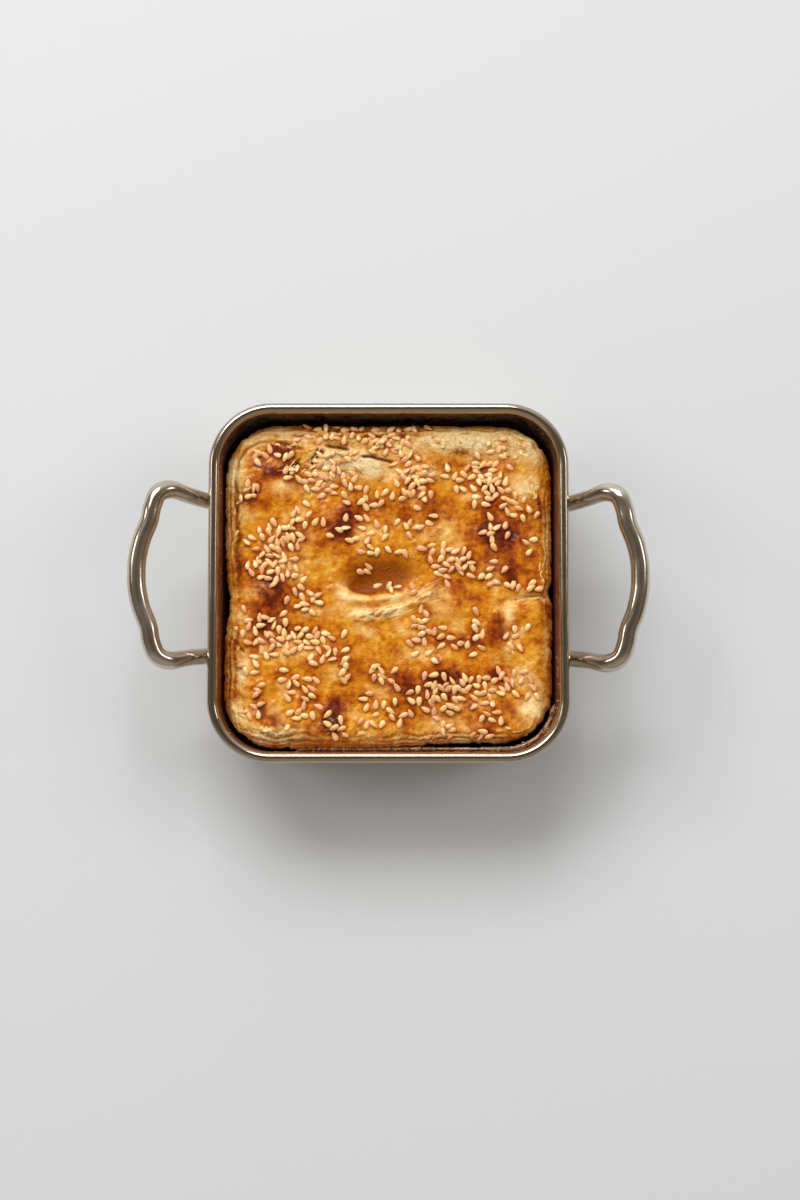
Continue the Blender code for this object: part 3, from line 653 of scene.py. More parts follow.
DRIFTS = (
    (-41, 42.5, 3.5, 2.5, 6), (-48, 31, 3, 3, 5), (-32, 39.5, 4, 3, 7), (-18, 44, 6, 2, 9),
    (-20, 36, 8, 5, 28), (-12, 49, 10, 1.5, 14), (2, 47, 6, 2, 8), (7.7, 39, 4.5, 4, 15),
    (10, 31, 5, 4, 12), (32, 35, 7.5, 7, 40), (42, 26, 5, 4.5, 14), (34.5, 17.5, 5, 3.5, 9),
    (-38.3, 15.5, 7, 5, 24), (-37.5, 6.5, 6, 5, 28), (-28, 22, 6, 4.5, 11), (-10, 18.5, 8, 4.5, 18),
    (-1, 11, 6, 2, 7), (9.5, 19, 5, 4.5, 11), (21, 7.5, 7, 4, 24), (-8, 4.4, 3, 1.5, 3),
    (2.5, -1, 4.5, 2, 6), (-27, -6, 5.5, 4.5, 13), (-39, -13, 6, 4, 13), (-32.5, -20, 8.5, 3, 27),
    (-22, -23, 3, 4, 7), (-14.7, -26, 1.2, 5, 8), (-30, -33, 6, 3.5, 12), (-43.5, -40, 2, 6, 8),
    (-28.5, -44, 5.5, 3.5, 12), (-16.6, -48, 4, 3, 6), (-2.5, -31.5, 4.5, 3, 10), (-5, -40, 5, 4, 7),
    (15, -37.5, 6, 5, 26), (28, -35, 10, 3.5, 25), (40, -32.5, 5, 3, 11), (16.5, -18.5, 9, 4.5, 19),
    (9.6, -11, 2.5, 3.5, 8), (29.4, -17.5, 1.5, 6, 7), (43.5, -16, 3, 4, 7), (44.5, -1, 6, 1.5, 7),
    (34, 1, 4.5, 5, 9), (33, -44, 5, 3, 8), (20, -49.5, 4, 2, 5), (4, -44, 4.5, 3, 7), (49, -37, 2.5, 2, 3),
    (-47, -16, 2.5, 5, 6), (-46, -28, 3, 4, 6), (48, 11, 2, 5, 4), (-7, 29, 7, 4, 12),
)
# More drifts, of small seeds alone, which the construction leaves out
SMALL_DRIFTS = (
    (-36, 15, 4.0, 3.0, 15), (-36.5, 6.5, 3.6, 4.0, 18), (-30, -18, 7, 1.6, 14), (33, 34.0, 4, 4.5, 18),
    (22, 7, 4.5, 3, 14), (16, -37, 3.6, 3, 12), (-14, 52.2, 12, 0.8, 9), (9, 52.0, 6, 0.8, 4),
    (0, 46.5, 4, 1.8, 12), (8, 37.5, 3, 3, 9), (27, -34.5, 6, 2, 8), (-21, 36.5, 5, 3, 11),
    (-46, 31.5, 2, 2, 2), (36, 48, 8, 1, 2), (-45.5, 42, 1.5, 1.5, 2), (24, -50, 12, 1.2, 4),
    (-6, -46, 6, 2.5, 4),
)
SEED_SIZE = (3.6 * MM, 2.1 * MM, 1.0 * MM)
WIDE_SPACING, CLOSE_SPACING = 2.5 * MM, 1.2 * MM
SEED_MARGIN, EDGE_MARGIN = 4.5 * MM, 1.3 * MM
LARGE_SHARE, SMALL_SHARE = 0.30, 0.58
LARGE_DRAW, SMALL_DRAW, SEED_DRAW = 7, 11, 5
DRIFT_SPREAD, DRIFT_TRIES = 0.55, 60
SEED_RISE = 0.22                   # of a seed's middle over the crust; one in a crowd lies on others
# Round each seed, browned glaze and a painted shadow of the seed: full within the first distance, none past
# the second
POOL_AND_SHADOW_FULL, POOL_AND_SHADOW_REACH = 1.0 * MM, 2.1 * MM


def edge_distance(x, y):
    """How far a place on the crust lies inside its plain outline."""
    half, corner = min(EDGE_HALF), max(EDGE_CORNERS)
    u = max(abs(x) - half + corner, 0.0)
    v = max(abs(y) - half + corner, 0.0)
    return corner - math.hypot(u, v) if u > 0 and v > 0 else half - max(abs(x), abs(y))


def seed_axis(x, y, yaw):
    """Three places along a seed, of which the nearest counts when seeds keep apart."""
    reach = (SEED_SIZE[0] - SEED_SIZE[1]) / 2
    return [(x + step * reach * math.cos(yaw), y + step * reach * math.sin(yaw)) for step in (-1, 0, 1)]


def nearest(axis, others):
    return min((math.dist(p, q) for other in others for p in axis for q in other), default=1.0)


def sprinkle(draw, drifts, share, spacing, margin, taken):
    """Adds seeds drift by drift, none nearer than spacing to another, and tells where each one lies."""
    seeds = []
    for cx, cy, rx, ry, count in drifts:
        wanted = max(round(count * share), 1)
        for attempt in range(DRIFT_TRIES * wanted):
            x = (cx + draw.gauss(0, DRIFT_SPREAD) * rx) * MM
            y = (cy + draw.gauss(0, DRIFT_SPREAD) * ry) * MM
            yaw = draw.uniform(-math.pi, math.pi)
            axis = seed_axis(x, y, yaw)
            if edge_distance(x, y) > margin and nearest(axis, taken) > spacing:
                crowd = nearest(axis, taken) < SEED_SIZE[1]
                seeds.append((x, y, yaw, crowd))
                taken.append(axis)
                wanted -= 1
            if wanted == 0:
                break
    return seeds


def take_shape():
    """Places of the vertices and the faces of the active object, which is then removed."""
    item = active()
    co = np.array([vert.co for vert in item.data.vertices])
    faces = [tuple(face.vertices) for face in item.data.polygons]
    bpy.data.objects.remove(item, do_unlink=True)
    return co, faces


def seed_template():
    """One teardrop of a few dozen faces, its pointed end towards +X."""
    start_clean()
    bpy.ops.mesh.primitive_uv_sphere_add(segments=8, ring_count=6, radius=0.5)
    co, faces = take_shape()
    belly = 1 - 0.62 * co[:, 2]
    return np.stack([co[:, 2], co[:, 0] * belly, co[:, 1] * belly], 1) * np.array(SEED_SIZE), faces


def drop_template():
    """Low round drop, one millimetre across."""
    start_clean()
    bpy.ops.mesh.primitive_uv_sphere_add(segments=8, ring_count=5, radius=0.5 * MM)
    bpy.ops.transform.resize(value=(1, 1, 0.7))
    bpy.ops.object.transform_apply(scale=True)
    return take_shape()


def scrap_template():
    """Thin scrap of torn pastry leaf, narrow at both ends and curled along its length."""
    length, width, thickness, end_share, curl = 2.6 * MM, 1.2 * MM, 0.18 * MM, 0.35, math.radians(38)
    start_clean()
    bpy.ops.mesh.primitive_grid_add(x_subdivisions=4, y_subdivisions=2, size=1.0)
    bpy.ops.transform.resize(value=(length, width, 1))
    bpy.ops.object.transform_apply(scale=True)
    set_mode("EDIT")
    for end in (-1, 1):
        select_where(lambda p: p.x * end > 0.45 * length)
        bpy.ops.transform.resize(value=(1, end_share, 1))
    select_where(lambda p: abs(p.x) < 0.15 * length)
    bpy.ops.transform.translate(value=(0, 0.12 * MM, 0.10 * MM))
    set_mode("OBJECT")
    apply_modifier("SIMPLE_DEFORM", deform_method="BEND", deform_axis="Y", angle=curl)
    apply_modifier("SOLIDIFY", thickness=thickness, offset=0.0)
    return take_shape()


def scatter(name, template, placings, marks, material):
    """Makes one piece of the template's copies, one at each placing, with a value of each mark a vertex."""
    shape, faces = template
    count = len(shape)
    verts = np.concatenate([shape @ np.array(m.to_3x3()).T + np.array(m.translation) for m in placings])
    all_faces = [tuple(i + count * copy for i in face) for copy in range(len(placings)) for face in faces]
    mesh = bpy.data.meshes.new(name)
    mesh.from_pydata(verts.tolist(), [], all_faces)
    for mark, values in marks.items():
        set_attribute(mesh, mark, values)
    item = bpy.data.objects.new(name, mesh)
    bpy.context.scene.collection.objects.link(item)
    start_clean()
    item.select_set(True)
    bpy.context.view_layer.objects.active = item
    set_mode("EDIT")
    face_outward()
    bpy.ops.object.shade_smooth()
    name_piece(name, material)


def on_crust(crust, x, y):
    """Place and normal of the crust below a point, or twice None beside it."""
    hit, place, normal, _ = crust.ray_cast(Vector((x, y, RIM_TOP)), -UP)
    return (place, normal) if hit else (None, None)


def lying(place, normal, yaw, tilt, size, from_above=False):
    """Matrix that lays a template on a surface, turned by yaw, tipped by tilt and scaled by size. The yaw is
    counted from the uphill side, as in the construction, or else as seen from above."""
    lie = UP.rotation_difference(normal) if from_above else normal.to_track_quat("Z", "Y")
    lie = lie.to_matrix().to_4x4()
    turn = Matrix.Rotation(yaw, 4, "Z") @ Matrix.Rotation(tilt[0], 4, "X") @ Matrix.Rotation(tilt[1], 4, "Y")
    return Matrix.Translation(place) @ lie @ turn @ Matrix.Diagonal((*size, 1))


def model_seeds(crust, material):
    """The large seeds where the construction has them, and the small ones between them."""
    taken = []
    large = sprinkle(random.Random(LARGE_DRAW), DRIFTS, LARGE_SHARE, WIDE_SPACING, SEED_MARGIN, taken)
    rest = random.Random(SMALL_DRAW)
    small = sprinkle(rest, DRIFTS, SMALL_SHARE, CLOSE_SPACING, EDGE_MARGIN, taken)
    small += sprinkle(rest, SMALL_DRIFTS, 1.0, CLOSE_SPACING, EDGE_MARGIN, taken)
    template = seed_template()
    draw = random.Random(SEED_DRAW)
    placings, tints = [], []
    for x, y, yaw, crowd in large + small:
        place, normal = on_crust(crust, x, y)
        if place is None:
            continue
        length, width = draw.uniform(0.84, 1.02), draw.uniform(0.80, 0.98)
        rise = (SEED_RISE if not crowd else SEED_RISE + draw.uniform(0.15, 0.55)) * MM
        tip = 0.35 if crowd else 0.10
        tilt = (draw.gauss(0, tip), draw.gauss(0, tip * 0.6))
        size = (length, width, draw.uniform(0.9, 1.1))
        placings.append(lying(place + normal * rise, normal, yaw, tilt, size))
        tints.append(draw.random())
    towards_tip = template[0][:, 0] / SEED_SIZE[0] + 0.5
    marks = {"tint": np.repeat(tints, len(towards_tip)), "tip": np.tile(towards_tip, len(placings))}
    scatter("sesame_seeds", template, placings, marks, material)
    mark_pooled_glaze_and_shadow(crust, taken)


def mark_pooled_glaze_and_shadow(crust, taken):
    """Marks a ring round each seed where the glaze collected and browned, and where a shadow of the seed is
    painted in.
    """
    spots = [(x, y, 0.0) for axis in taken for x, y in axis]
    tree = kdtree.KDTree(len(spots))
    for index, spot in enumerate(spots):
        tree.insert(spot, index)
    tree.balance()
    away = np.array([tree.find((vert.co.x, vert.co.y, 0.0))[2] for vert in crust.data.vertices])
    set_attribute(crust.data, "glaze_pool_and_shadow", np.clip((POOL_AND_SHADOW_REACH - away) / (POOL_AND_SHADOW_REACH - POOL_AND_SHADOW_FULL), 0, 1))


# Scraps of torn pastry leaf: middle, half-lengths, direction in degrees and how many lie there. The first two
# patches are thin shreds.

SCRAPS = (
    (-32.2, 38.9, 3.2, 2.4, 44, 12), (-24.6, 42.2, 1.9, 3.4, 60, 13), (-15, 41.5, 6.5, 3.0, 10, 16),
    (-2.5, 47.5, 6, 2.0, 0, 16), (-33, 47, 6, 1.5, -12, 6), (20, 47.8, 12, 2.4, 5, 12),
    (-22, 37.5, 6, 3.0, 20, 8), (38, 45.5, 9, 3.2, -15, 12), (49.0, 33, 2.4, 6, -75, 5),
    (-41.5, -49.5, 8, 2.0, -24, 14), (-49.5, -43.5, 2.8, 4, -60, 7), (-50.5, 24, 2.0, 9, 84, 8),
    (-50.5, -22, 2.0, 12, 92, 7), (34, -50.0, 8, 1.8, 6, 7), (14, -51.5, 12, 1.4, 2, 6),
    (-10, -50.5, 8, 1.6, 0, 4), (51.5, 2, 1.4, 10, 90, 4), (12, 38, 4.5, 2.2, 0, 5), (46, -5, 5, 0.8, 4, 4),
    (-4, -8.0, 8, 1.6, 14, 6), (41, -20, 1.0, 6, 80, 4), (-20, 50.5, 14, 1.4, 0, 10),
)
SHREDS, SCRAP_DRAW = 2, 23


def model_scraps(crust, material):
    draw = random.Random(SCRAP_DRAW)
    template = scrap_template()
    placings, tints = [], []
    for patch, (cx, cy, rx, ry, direction, count) in enumerate(SCRAPS):
        thin = patch < SHREDS
        for index in range(count):
            x, y = (cx + draw.gauss(0, 0.5) * rx) * MM, (cy + draw.gauss(0, 0.5) * ry) * MM
            yaw = math.radians(direction + draw.gauss(0, 15 if thin else 24))
            tilt = (draw.gauss(0, 0.22), draw.gauss(0, 0.05 if thin else 0.10))
            width = draw.uniform(0.22, 0.42) if thin else draw.uniform(0.6, 1.7)
            size = (draw.uniform(0.7, 1.9), width, draw.uniform(0.5, 1.0))
            sunk = draw.uniform(-0.15, 0.12) if thin else draw.uniform(0.05, 0.25)
            place, normal = on_crust(crust, x, y)
            if place is not None and edge_distance(x, y) > 0.8 * MM:
                placings.append(lying(place - normal * sunk * MM, normal, yaw, tilt, size, from_above=True))
                tints.append(draw.random() * (0.4 if thin else 1.0))
    scatter("pastry_scraps", template, placings, {"tint": np.repeat(tints, len(template[0]))}, material)


# Fat and juice

FAT_DROPS, FAT_DRAW = 110, 3
JUICE_BUBBLES, JUICE_DRAW = 120, 8
FRONT_RIGHT = -0.79                # direction of that corner, in radians
JUICE_RUN = range(-31, 64)         # millimetres to the right of the front's middle, and on round the corner
BURST = (-18.3, -47.5)             # where juice came up through the crust, in millimetres


def model_fat(dish, material):
    """Drops of fat that spat onto the wall above the crust, most of them in the front right corner."""
    draw = random.Random(FAT_DRAW)
    placings = []
    for index in range(FAT_DROPS):
        turn = draw.gauss(FRONT_RIGHT, 0.28) if index % 2 else draw.uniform(-math.pi, math.pi)
        start = Vector((0, 0, draw.uniform(33.0, 40.0) * MM))
        hit, place, normal, _ = dish.ray_cast(start, Vector((math.cos(turn), math.sin(turn), 0)))
        size = draw.uniform(0.25, 0.7)
        placings.append(lying(place, normal, 0.0, (0.0, 0.0), (size, size, size)))
    scatter("fat_drops", drop_template(), placings, {}, material)


def juice_place(run):
    """Place along the wall, run millimetres to the right of the front's middle and on round the corner."""
    height = (30.7 + 0.2 * noise.noise(Vector((run / 2.5, 0, 0))) + 0.1 * min(max(run - 20, 0), 20)) * MM
    bend = wall_half(height) - 0.85 * MM - REACH
    turn = (run * MM - REACH) / bend
    if turn < 0:
        return Vector((run * MM, -REACH - bend, height))
    return Vector((REACH + bend * math.sin(turn), -REACH - bend * math.cos(turn), height))


def juice_thickness(run):
    """Radius of the baked juice, which thins along the front and gathers again in the corner."""
    uneven = 0.5 * noise.noise(Vector((run / 1.7, 4.0, 0)))
    return (0.72 + uneven - 0.006 * min(max(run, 0), 30) + 0.03 * min(max(run - 28, 0), 12)) * MM


def model_juice(crust, material):
    """Juice that boiled up along the front edge and round its right corner, and baked on the wall."""
    points = [juice_place(run) for run in JUICE_RUN]
    radii = [juice_thickness(run) for run in JUICE_RUN]
    radii[0] = radii[-1] = 0.2 * MM
    draw_tube(points, radii, 3)
    name_piece("baked_juice", material)
    draw = random.Random(JUICE_DRAW)
    placings = []
    for index in range(JUICE_BUBBLES):
        size = draw.uniform(0.4, 1.2)
        if index % 4 == 3:
            x, y = BURST[0] + draw.gauss(0, 1.4), BURST[1] + draw.gauss(0, 1.8)
            place, normal = on_crust(crust, x * MM, y * MM)
        else:
            run = draw.uniform(34, 62) if index % 4 == 2 else draw.triangular(-31, 22, -17)
            place = juice_place(run) + Vector((draw.gauss(0, 0.4), draw.gauss(0.1, 0.3), 0.6)) * MM
            normal = UP
        if place is not None:
            placings.append(lying(place, normal, 0.0, (0.0, 0.0), (size, size, size)))
    scatter("juice_bubbles", drop_template(), placings, {}, material)


# Materials

JUICE_LINE = (30.0 * MM, 27.0 * MM)        # heights between which the crust's side turns to baked juice
FILM_EDGE = (40.8 * MM, 37.8 * MM)         # heights between which the wall's baked-on fat, with a painted reflection of the crust, sets in
FILM_DEEPENS = (39.5 * MM, 32.5 * MM)      # and between which it darkens
# Painted shade: from the first place to the second towards the back, the wall's inner face darkens to near
# black, as it faces away from the window
SHADE_TOWARDS_BACK = (30.0 * MM, 52.0 * MM)


def shade(red, green, blue):
    """Linear colour from one given as a display shows it, 0 to 255."""
    return tuple((value / 255 / 12.92 if value <= 10 else ((value / 255 + 0.055) / 1.055) ** 2.4)
                 for value in (red, green, blue))


def new_material(name):
    material = bpy.data.materials.new(name)
    material.use_nodes = True
    tree = material.node_tree
    return material, tree, tree.nodes["Principled BSDF"]


def feed(tree, value, socket):
    """Gives a socket a number, a colour or three scales, or wires another node's output to it."""
    if isinstance(value, bpy.types.NodeSocket):
        tree.links.new(value, socket)
    elif isinstance(value, tuple) and socket.type == "RGBA":
        socket.default_value = (*value, 1.0)
    else:
        socket.default_value = value


def feed_all(tree, node, values):
    for name, value in values.items():
        feed(tree, value, node.inputs[name])


def add_node(tree, kind, values, **settings):
    node = tree.nodes.new("ShaderNode" + kind)
    for name, setting in settings.items():
        setattr(node, name, setting)
    feed_all(tree, node, values)
    return node


def own_place(tree):
    """The piece's own coordinates, in metres."""
    return tree.nodes.new("ShaderNodeTexCoord").outputs["Object"]


def split(tree, place):
    """A place's outputs X, Y and Z."""
    return add_node(tree, "SeparateXYZ", {"Vector": place}).outputs


def texture(tree, scale, detail=3.0, stretch=None, roughness=0.5):
    """Noise on the piece's own coordinates, in lumps of about 1/scale metres."""
    place = own_place(tree)
    if stretch:
        place = add_node(tree, "Mapping", {"Vector": place, "Scale": stretch}).outputs["Vector"]
    values = {"Vector": place, "Scale": scale, "Detail": detail, "Roughness": roughness}
    return add_node(tree, "TexNoise", values).outputs["Fac"]


def ramp(tree, source, stops):
    """Runs through the stops' colours as the source rises from 0 to 1."""
    node = tree.nodes.new("ShaderNodeValToRGB")
    elements = node.color_ramp.elements
    while len(elements) < len(stops):
        elements.new(0.5)
    for element, (position, colour) in zip(elements, stops):
        element.position = position
        element.color = (*colour, 1.0)
    feed(tree, source, node.inputs["Fac"])
    return node.outputs["Color"]


def remap(tree, source, low, high, to_low, to_high):
    values = {"Value": source, "From Min": low, "From Max": high, "To Min": to_low, "To Max": to_high}
    return add_node(tree, "MapRange", values).outputs["Result"]


def combine(tree, operation, first, *others):
    """Takes numbers or masks together, one after another."""
    for other in others:
        node = add_node(tree, "Math", {}, operation=operation)
        for value, socket in zip((first, other), node.inputs):
            feed(tree, value, socket)
        first = node.outputs["Value"]
    return first


def mix_colour(tree, factor, first, second):
    node = add_node(tree, "Mix", {}, data_type="RGBA")
    colours = [socket for socket in node.inputs if socket.type == "RGBA"]
    for value, socket in zip((factor, first, second), (node.inputs[0], *colours)):
        feed(tree, value, socket)
    return next(socket for socket in node.outputs if socket.type == "RGBA")


def attribute(tree, name):
    return add_node(tree, "Attribute", {}, attribute_name=name).outputs["Fac"]


def bump(tree, height, distance, strength=1.0, after=None):
    """Surface normal over a height, on top of the normal of a bump before it."""
    values = {"Height": height, "Distance": distance, "Strength": strength}
    if after:
        values["Normal"] = after
    return add_node(tree, "Bump", values).outputs["Normal"]


def new_group(name, inputs, outputs):
    """Empty node group with float inputs and their usual values, and named outputs of a socket type."""
    group = bpy.data.node_groups.new(name, "ShaderNodeTree")
    for label, value in inputs.items():
        socket = group.interface.new_socket(label, in_out="INPUT", socket_type="NodeSocketFloat")
        socket.default_value = value
    for label, kind in outputs.items():
        group.interface.new_socket(label, in_out="OUTPUT", socket_type=kind)
    return group, group.nodes.new("NodeGroupInput"), group.nodes.new("NodeGroupOutput")


def use_group(tree, group, **values):
    return add_node(tree, "Group", values, node_tree=group)


def steel_wear_group():
    """Fine drawn lines and hairline scuffs of worked stainless steel."""
    outputs = {"Roughness": "NodeSocketFloat", "Height": "NodeSocketFloat"}
    group, given, out = new_group("steel_wear", {"Polish": 0.2}, outputs)
    lines = texture(group, 90, 2.0, stretch=(1.0, 1.0, 30.0))
    scuffs = texture(group, 900, 4.0, stretch=(1.0, 0.12, 1.0))
    smudge = texture(group, 60, 3.0)
    weighted = (combine(group, "MULTIPLY", lines, 0.6), combine(group, "MULTIPLY", scuffs, 0.4))
    dull = remap(group, smudge, 0.35, 0.7, -0.04, 0.08)
    feed_all(group, out, {
        "Height": combine(group, "ADD", *weighted),
        "Roughness": combine(group, "ADD", given.outputs["Polish"], dull),
    })
    return group


def toasted_group():
    """Colour of glazed pastry by how far it browned, and of bare pastry where it is pale."""
    inputs = {"Browned": 0.4, "Pale": 0.0, "Torn": 0.0}
    group, given, out = new_group("toasted", inputs, {"Color": "NodeSocketColor"})
    mottle = remap(group, texture(group, 620, 5.0, roughness=0.62), 0.3, 0.7, -0.14, 0.14)
    crumbs = remap(group, texture(group, 1050, 5.0, roughness=0.72), 0.36, 0.64, -0.28, 0.18)
    crumbs = combine(group, "MULTIPLY", crumbs, given.outputs["Torn"])
    level = combine(group, "ADD", given.outputs["Browned"], mottle, crumbs)
    glazed = ramp(group, level, (
        (0.00, shade(236, 190, 104)), (0.16, shade(228, 166, 62)), (0.32, shade(214, 140, 28)),
        (0.47, shade(200, 118, 10)), (0.60, shade(178, 92, 6)), (0.75, shade(152, 66, 4)),
        (0.90, shade(120, 41, 3)), (1.00, shade(94, 28, 4))))
    bare = ramp(group, level, (
        (0.05, shade(255, 230, 176)), (0.40, shade(238, 194, 122)), (0.62, shade(210, 148, 76)),
        (0.85, shade(156, 84, 38)), (1.0, shade(96, 42, 22))))
    feed(group, mix_colour(group, given.outputs["Pale"], glazed, bare), out.inputs["Color"])
    return group


def crust_bumps(tree, dry, flaky):
    """Small bubbles in the glaze, the grain of its skin and, where the leaves are torn, a coarser grain."""
    bubbles = add_node(tree, "TexVoronoi", {"Vector": own_place(tree), "Scale": 950})
    domes = remap(tree, bubbles.outputs["Distance"], 0.0, 0.5, 1.0, 0.0)
    in_patches = remap(tree, texture(tree, 170, 2.0), 0.50, 0.62, 0.0, 1.0)
    on_glaze = remap(tree, dry, 0.1, 0.6, 1.0, 0.0)
    blistered = bump(tree, combine(tree, "MULTIPLY", domes, in_patches, on_glaze), 0.0004, 0.7)
    skin = bump(tree, texture(tree, 480, 4.0, roughness=0.58), 0.0010, 0.75, after=blistered)
    torn = combine(tree, "MULTIPLY", texture(tree, 820, 6.0, roughness=0.70), flaky)
    return bump(tree, torn, 0.0016, 0.9, after=skin)


def crust_material(toasted):
    """Glazed pastry above, and below its edge the dark red-brown of juices baked on in the gap."""
    material, tree, shader = new_material("glazed_pastry")
    names = ("browned", "pale", "flaky", "furrow_shade", "sunken", "wet", "glaze_pool_and_shadow")
    browned, pale, flaky, furrow_shade, hole, wet, glaze_pool_and_shadow = (attribute(tree, name) for name in names)
    # Darker round the seeds: browned glaze that collected there, and a painted shadow of the seeds
    pooled_glaze_and_shadow = combine(tree, "MULTIPLY", glaze_pool_and_shadow, remap(tree, pale, 0.0, 0.8, 0.16, 0.05))
    level = combine(tree, "ADD", browned, pooled_glaze_and_shadow)
    colour = use_group(tree, toasted, Browned=level, Pale=pale, Torn=flaky).outputs["Color"]
    # Painted shade in the steam hole: its floor turns a darker amber brown
    hole_shaded = mix_colour(tree, remap(tree, hole, 0.25, 1.0, 0.0, 0.85), colour, shade(140, 70, 8))
    # Painted shade in the furrows at the foot of torn leaves, darkest along their middles
    crease_shaded = mix_colour(tree, remap(tree, furrow_shade, 0.15, 0.60, 0.0, 0.8), hole_shaded, shade(118, 58, 12))
    deep_crease_shaded = mix_colour(tree, remap(tree, furrow_shade, 0.65, 0.95, 0.0, 0.95), crease_shaded, shade(58, 20, 8))
    below = remap(tree, split(tree, own_place(tree))["Z"], *JUICE_LINE, 0.0, 1.0)
    dry = combine(tree, "MAXIMUM", pale, flaky)
    glossy = remap(tree, dry, 0.1, 0.9, 0.42, 0.08)
    thinner = remap(tree, level, 0.45, 0.85, 1.0, 0.5)
    shaded = remap(tree, hole, 0.1, 0.6, 1.0, 0.05)
    coat = combine(tree, "MULTIPLY", glossy, thinner, shaded)
    feed_all(tree, shader, {
        "Base Color": mix_colour(tree, below, deep_crease_shaded, shade(156, 54, 22)),
        "Roughness": remap(tree, dry, 0.1, 0.9, 0.34, 0.62),
        "Coat Weight": combine(tree, "MAXIMUM", coat, combine(tree, "MULTIPLY", wet, 0.9)),
        "Coat Roughness": 0.09,
        "Specular IOR Level": 0.10,
        "Normal": crust_bumps(tree, dry, flaky),
    })
    return material


def seed_material():
    """Toasted sesame from cream to amber, one shade a seed, browner towards the tip."""
    material, tree, shader = new_material("toasted_seed")
    tint = attribute(tree, "tint")
    body = ramp(tree, tint, (
        (0.0, shade(255, 217, 154)), (0.30, shade(253, 203, 126)), (0.58, shade(250, 192, 124)),
        (0.82, shade(246, 179, 126)), (1.0, shade(234, 160, 94))))
    freckles = remap(tree, texture(tree, 1800, 3.0), 0.35, 0.7, 0.88, 1.08)
    toasted_tip = remap(tree, attribute(tree, "tip"), 0.45, 1.0, 0.0, 0.55)
    colour = mix_colour(tree, toasted_tip, body, shade(218, 142, 76))
    feed_all(tree, shader, {
        "Base Color": add_node(tree, "HueSaturation", {"Color": colour, "Value": freckles}).outputs["Color"],
        "Roughness": remap(tree, tint, 0.0, 1.0, 0.30, 0.44),
        "Normal": bump(tree, texture(tree, 2600, 2.0), 0.00006, 0.4),
        "Coat Weight": 0.9,
        "Coat Roughness": 0.2,
    })
    return material


def scrap_material(toasted):
    """The crust's own pastry, unglazed, one shade a scrap."""
    material, tree, shader = new_material("torn_pastry")
    level = remap(tree, attribute(tree, "tint"), 0.0, 1.0, 0.10, 0.62)
    feed_all(tree, shader, {
        "Base Color": use_group(tree, toasted, Browned=level, Pale=0.7).outputs["Color"],
        "Roughness": 0.5,
        "Specular IOR Level": 0.3,
        "Normal": bump(tree, texture(tree, 1300, 3.0), 0.0001, 0.5),
    })
    return material


def wet_material(name, dark, light, roughness):
    """Fat or juice: smooth, mottled between two colours."""
    material, tree, shader = new_material(name)
    tone = remap(tree, texture(tree, 900, 2.0), 0.35, 0.65, 0.0, 1.0)
    colour = mix_colour(tree, tone, dark, light)
    feed_all(tree, shader, {"Base Color": colour, "Roughness": roughness, "Coat Weight": 0.6})
    return material


def dish_material(wear):
    """Bright sheet steel, with browned fat baked on inside below the bead, holding a painted reflection of
    the crust, and painted shade on the back wall.
    """
    material, tree, shader = new_material("dish_steel")
    worn = use_group(tree, wear, Polish=0.13)
    place = split(tree, own_place(tree))
    low = remap(tree, place["Z"], *FILM_EDGE, 0.0, 1.0)
    inside = remap(tree, attribute(tree, "inside"), 0.45, 0.55, 0.0, 1.0)
    patchy = remap(tree, texture(tree, 260, 5.0), 0.36, 0.62, 0.55, 1.0)
    # Below the bead: browned baked-on fat, and the brown of the crust's reflection painted in with it
    stain_and_reflection = combine(tree, "MULTIPLY", low, inside, patchy)
    depth = remap(tree, place["Z"], *FILM_DEEPENS, 0.0, 1.0)
    wall_film_and_reflection = mix_colour(tree, depth, shade(126, 92, 58), shade(160, 58, 22))
    # Painted shade on the back wall's inner face, which faces away from the window
    back_wall_shade = remap(tree, place["Y"], *SHADE_TOWARDS_BACK, 0.0, 0.9)
    # The brown baked-on fat, its painted reflection of the crust and the painted shade at the back, together
    fat = mix_colour(tree, back_wall_shade, wall_film_and_reflection, shade(42, 11, 5))
    baked = combine(tree, "MULTIPLY", stain_and_reflection, 0.16)
    feed_all(tree, shader, {
        "Base Color": mix_colour(tree, stain_and_reflection, shade(184, 169, 148), fat),
        "Metallic": remap(tree, stain_and_reflection, 0.0, 1.0, 1.0, 0.25),
        "Roughness": combine(tree, "ADD", worn.outputs["Roughness"], baked),
        "Normal": bump(tree, worn.outputs["Height"], 0.00003, 0.35),
    })
    return material


def handle_material(wear):
    """Duller steel than the dish's, a little uneven in tone."""
    material, tree, shader = new_material("handle_steel")
    worn = use_group(tree, wear, Polish=0.16)
    tone = remap(tree, texture(tree, 120, 2.0), 0.3, 0.7, 0.0, 1.0)
    feed_all(tree, shader, {
        "Base Color": mix_colour(tree, tone, shade(196, 182, 164), shade(216, 204, 188)),
        "Metallic": 1.0,
        "Roughness": worn.outputs["Roughness"],
        "Normal": bump(tree, worn.outputs["Height"], 0.00002, 0.3),
    })
    return material


# Stage

LIT = Vector((0, 0, 0.03))                 # the lights point here
DAYLIGHT, LAMPLIGHT = (1.0, 0.985, 0.96), (1.0, 0.99, 0.97)


def add_area(name, place, size, energy, colour, mirrored):
    """Soft light; only a mirrored one shows in the steel."""
    light = bpy.data.lights.new(name, "AREA")
    light.shape = "RECTANGLE"
    light.size, light.size_y = size
    light.energy = energy
    light.color = colour
    item = bpy.data.objects.new(name, light)
    item.location = place
    item.rotation_euler = (LIT - Vector(place)).to_track_quat("-Z", "Y").to_euler()
    item.visible_glossy = mirrored
    bpy.context.scene.collection.objects.link(item)


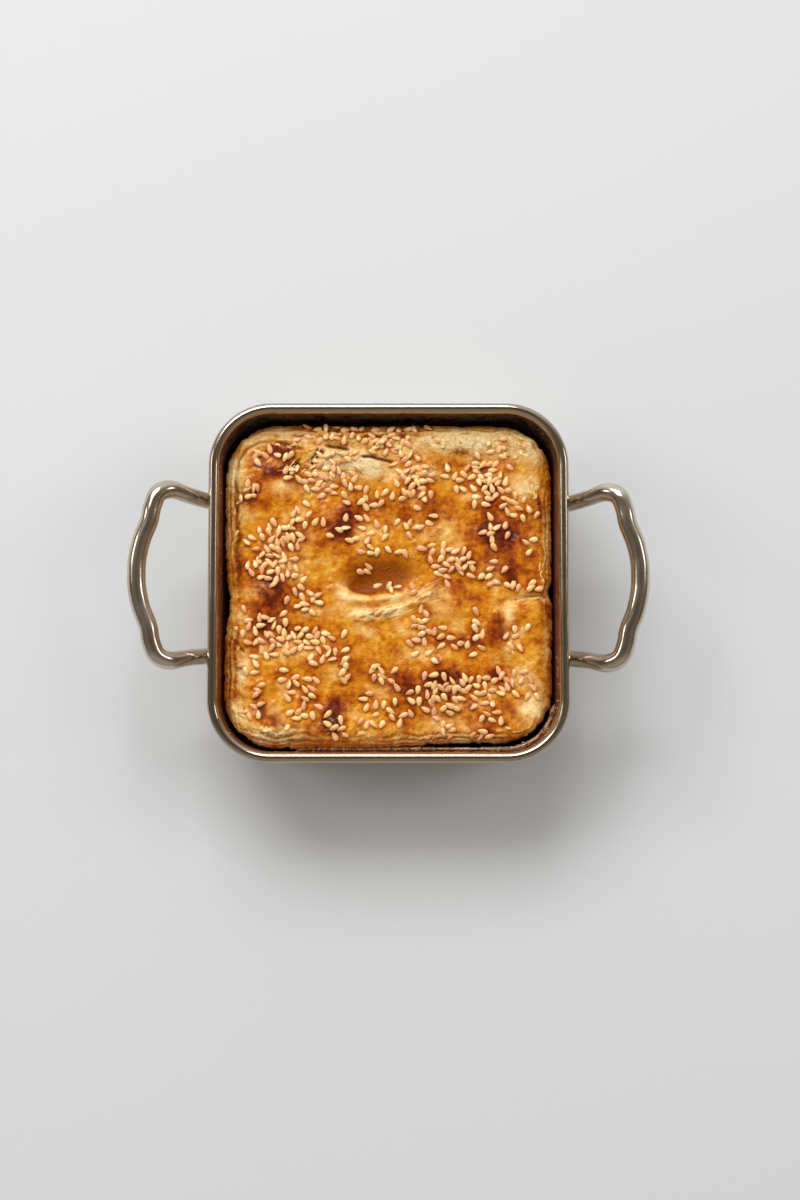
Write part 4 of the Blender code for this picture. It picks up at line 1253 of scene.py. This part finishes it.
def light_stage():
    """Brightest on the window side behind the dish, then before it, and dim and warm at its sides."""
    scene = bpy.context.scene
    world = bpy.data.worlds.new("studio")
    scene.world = world
    world.use_nodes = True
    tree = world.node_tree
    sky = tree.nodes["Background"]
    way = split(tree, tree.nodes.new("ShaderNodeTexCoord").outputs["Generated"])
    round_about = ramp(tree, way["Z"], (
        (0.0, shade(150, 140, 128)), (0.20, shade(92, 80, 68)), (0.55, shade(118, 110, 101)),
        (0.86, shade(116, 110, 102)), (1.0, shade(92, 88, 83))))
    viewer_side = remap(tree, way["Y"], -0.20, -0.65, 0.0, 0.9)
    front = mix_colour(tree, viewer_side, round_about, shade(170, 163, 158))
    window_side = remap(tree, way["Y"], 0.40, 0.85, 0.0, 1.0)
    feed_all(tree, sky, {
        "Color": mix_colour(tree, window_side, front, shade(236, 237, 238)), "Strength": 1.0,
    })
    add_area("window", (-0.45, 1.40, 1.60), (1.5, 0.9), 37.0, DAYLIGHT, True)
    for side in (-1, 1):
        add_area("lamp", (1.45 * side, 0.45, 0.95), (0.4, 0.4), 2.0, LAMPLIGHT, True)
    add_area("left_fill", (-1.3, 0.2, 1.4), (0.9, 0.9), 6.0, LAMPLIGHT, False)
    add_area("right_fill", (1.3, 0.3, 1.5), (1.0, 1.0), 7.0, LAMPLIGHT, False)
    scene.view_settings.view_transform = "Standard"


def add_floor():
    start_clean()
    bpy.ops.mesh.primitive_plane_add(size=6.0, location=(0, 0, 0))
    floor = active()
    floor.name = "floor"
    material, tree, shader = new_material("floor")
    colour = mix_colour(tree, texture(tree, 2.0), shade(207, 210, 214), shade(212, 215, 218))
    feed_all(tree, shader, {"Base Color": colour, "Roughness": 0.6})
    floor.data.materials.append(material)


def add_camera():
    camera = bpy.data.cameras.new("camera")
    camera.lens = LENS
    camera.sensor_width = 36.0
    item = bpy.data.objects.new("camera", camera)
    item.location = AIM + CAMERA_AWAY * Vector((0, -math.sin(CAMERA_TILT), math.cos(CAMERA_TILT)))
    item.rotation_euler = (CAMERA_TILT, 0, 0)
    bpy.context.scene.collection.objects.link(item)
    bpy.context.scene.camera = item


def main():
    add_camera()
    add_floor()
    light_stage()
    wear, toasted = steel_wear_group(), toasted_group()
    dish = model_dish(dish_material(wear))
    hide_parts("dish")
    rod = handle_material(wear)
    model_handle("handle_rod_left", -1, "handle_left", rod)
    model_handle("handle_rod_right", 1, "handle_right", rod)
    crust = model_crust(crust_material(toasted))
    model_seeds(crust, seed_material())
    model_scraps(crust, scrap_material(toasted))
    model_fat(dish, wet_material("baked_fat", shade(160, 108, 60), shade(206, 164, 112), 0.25))
    model_juice(crust, wet_material("baked_juice", shade(78, 46, 24), shade(160, 124, 84), 0.16))


main()
start_clean()
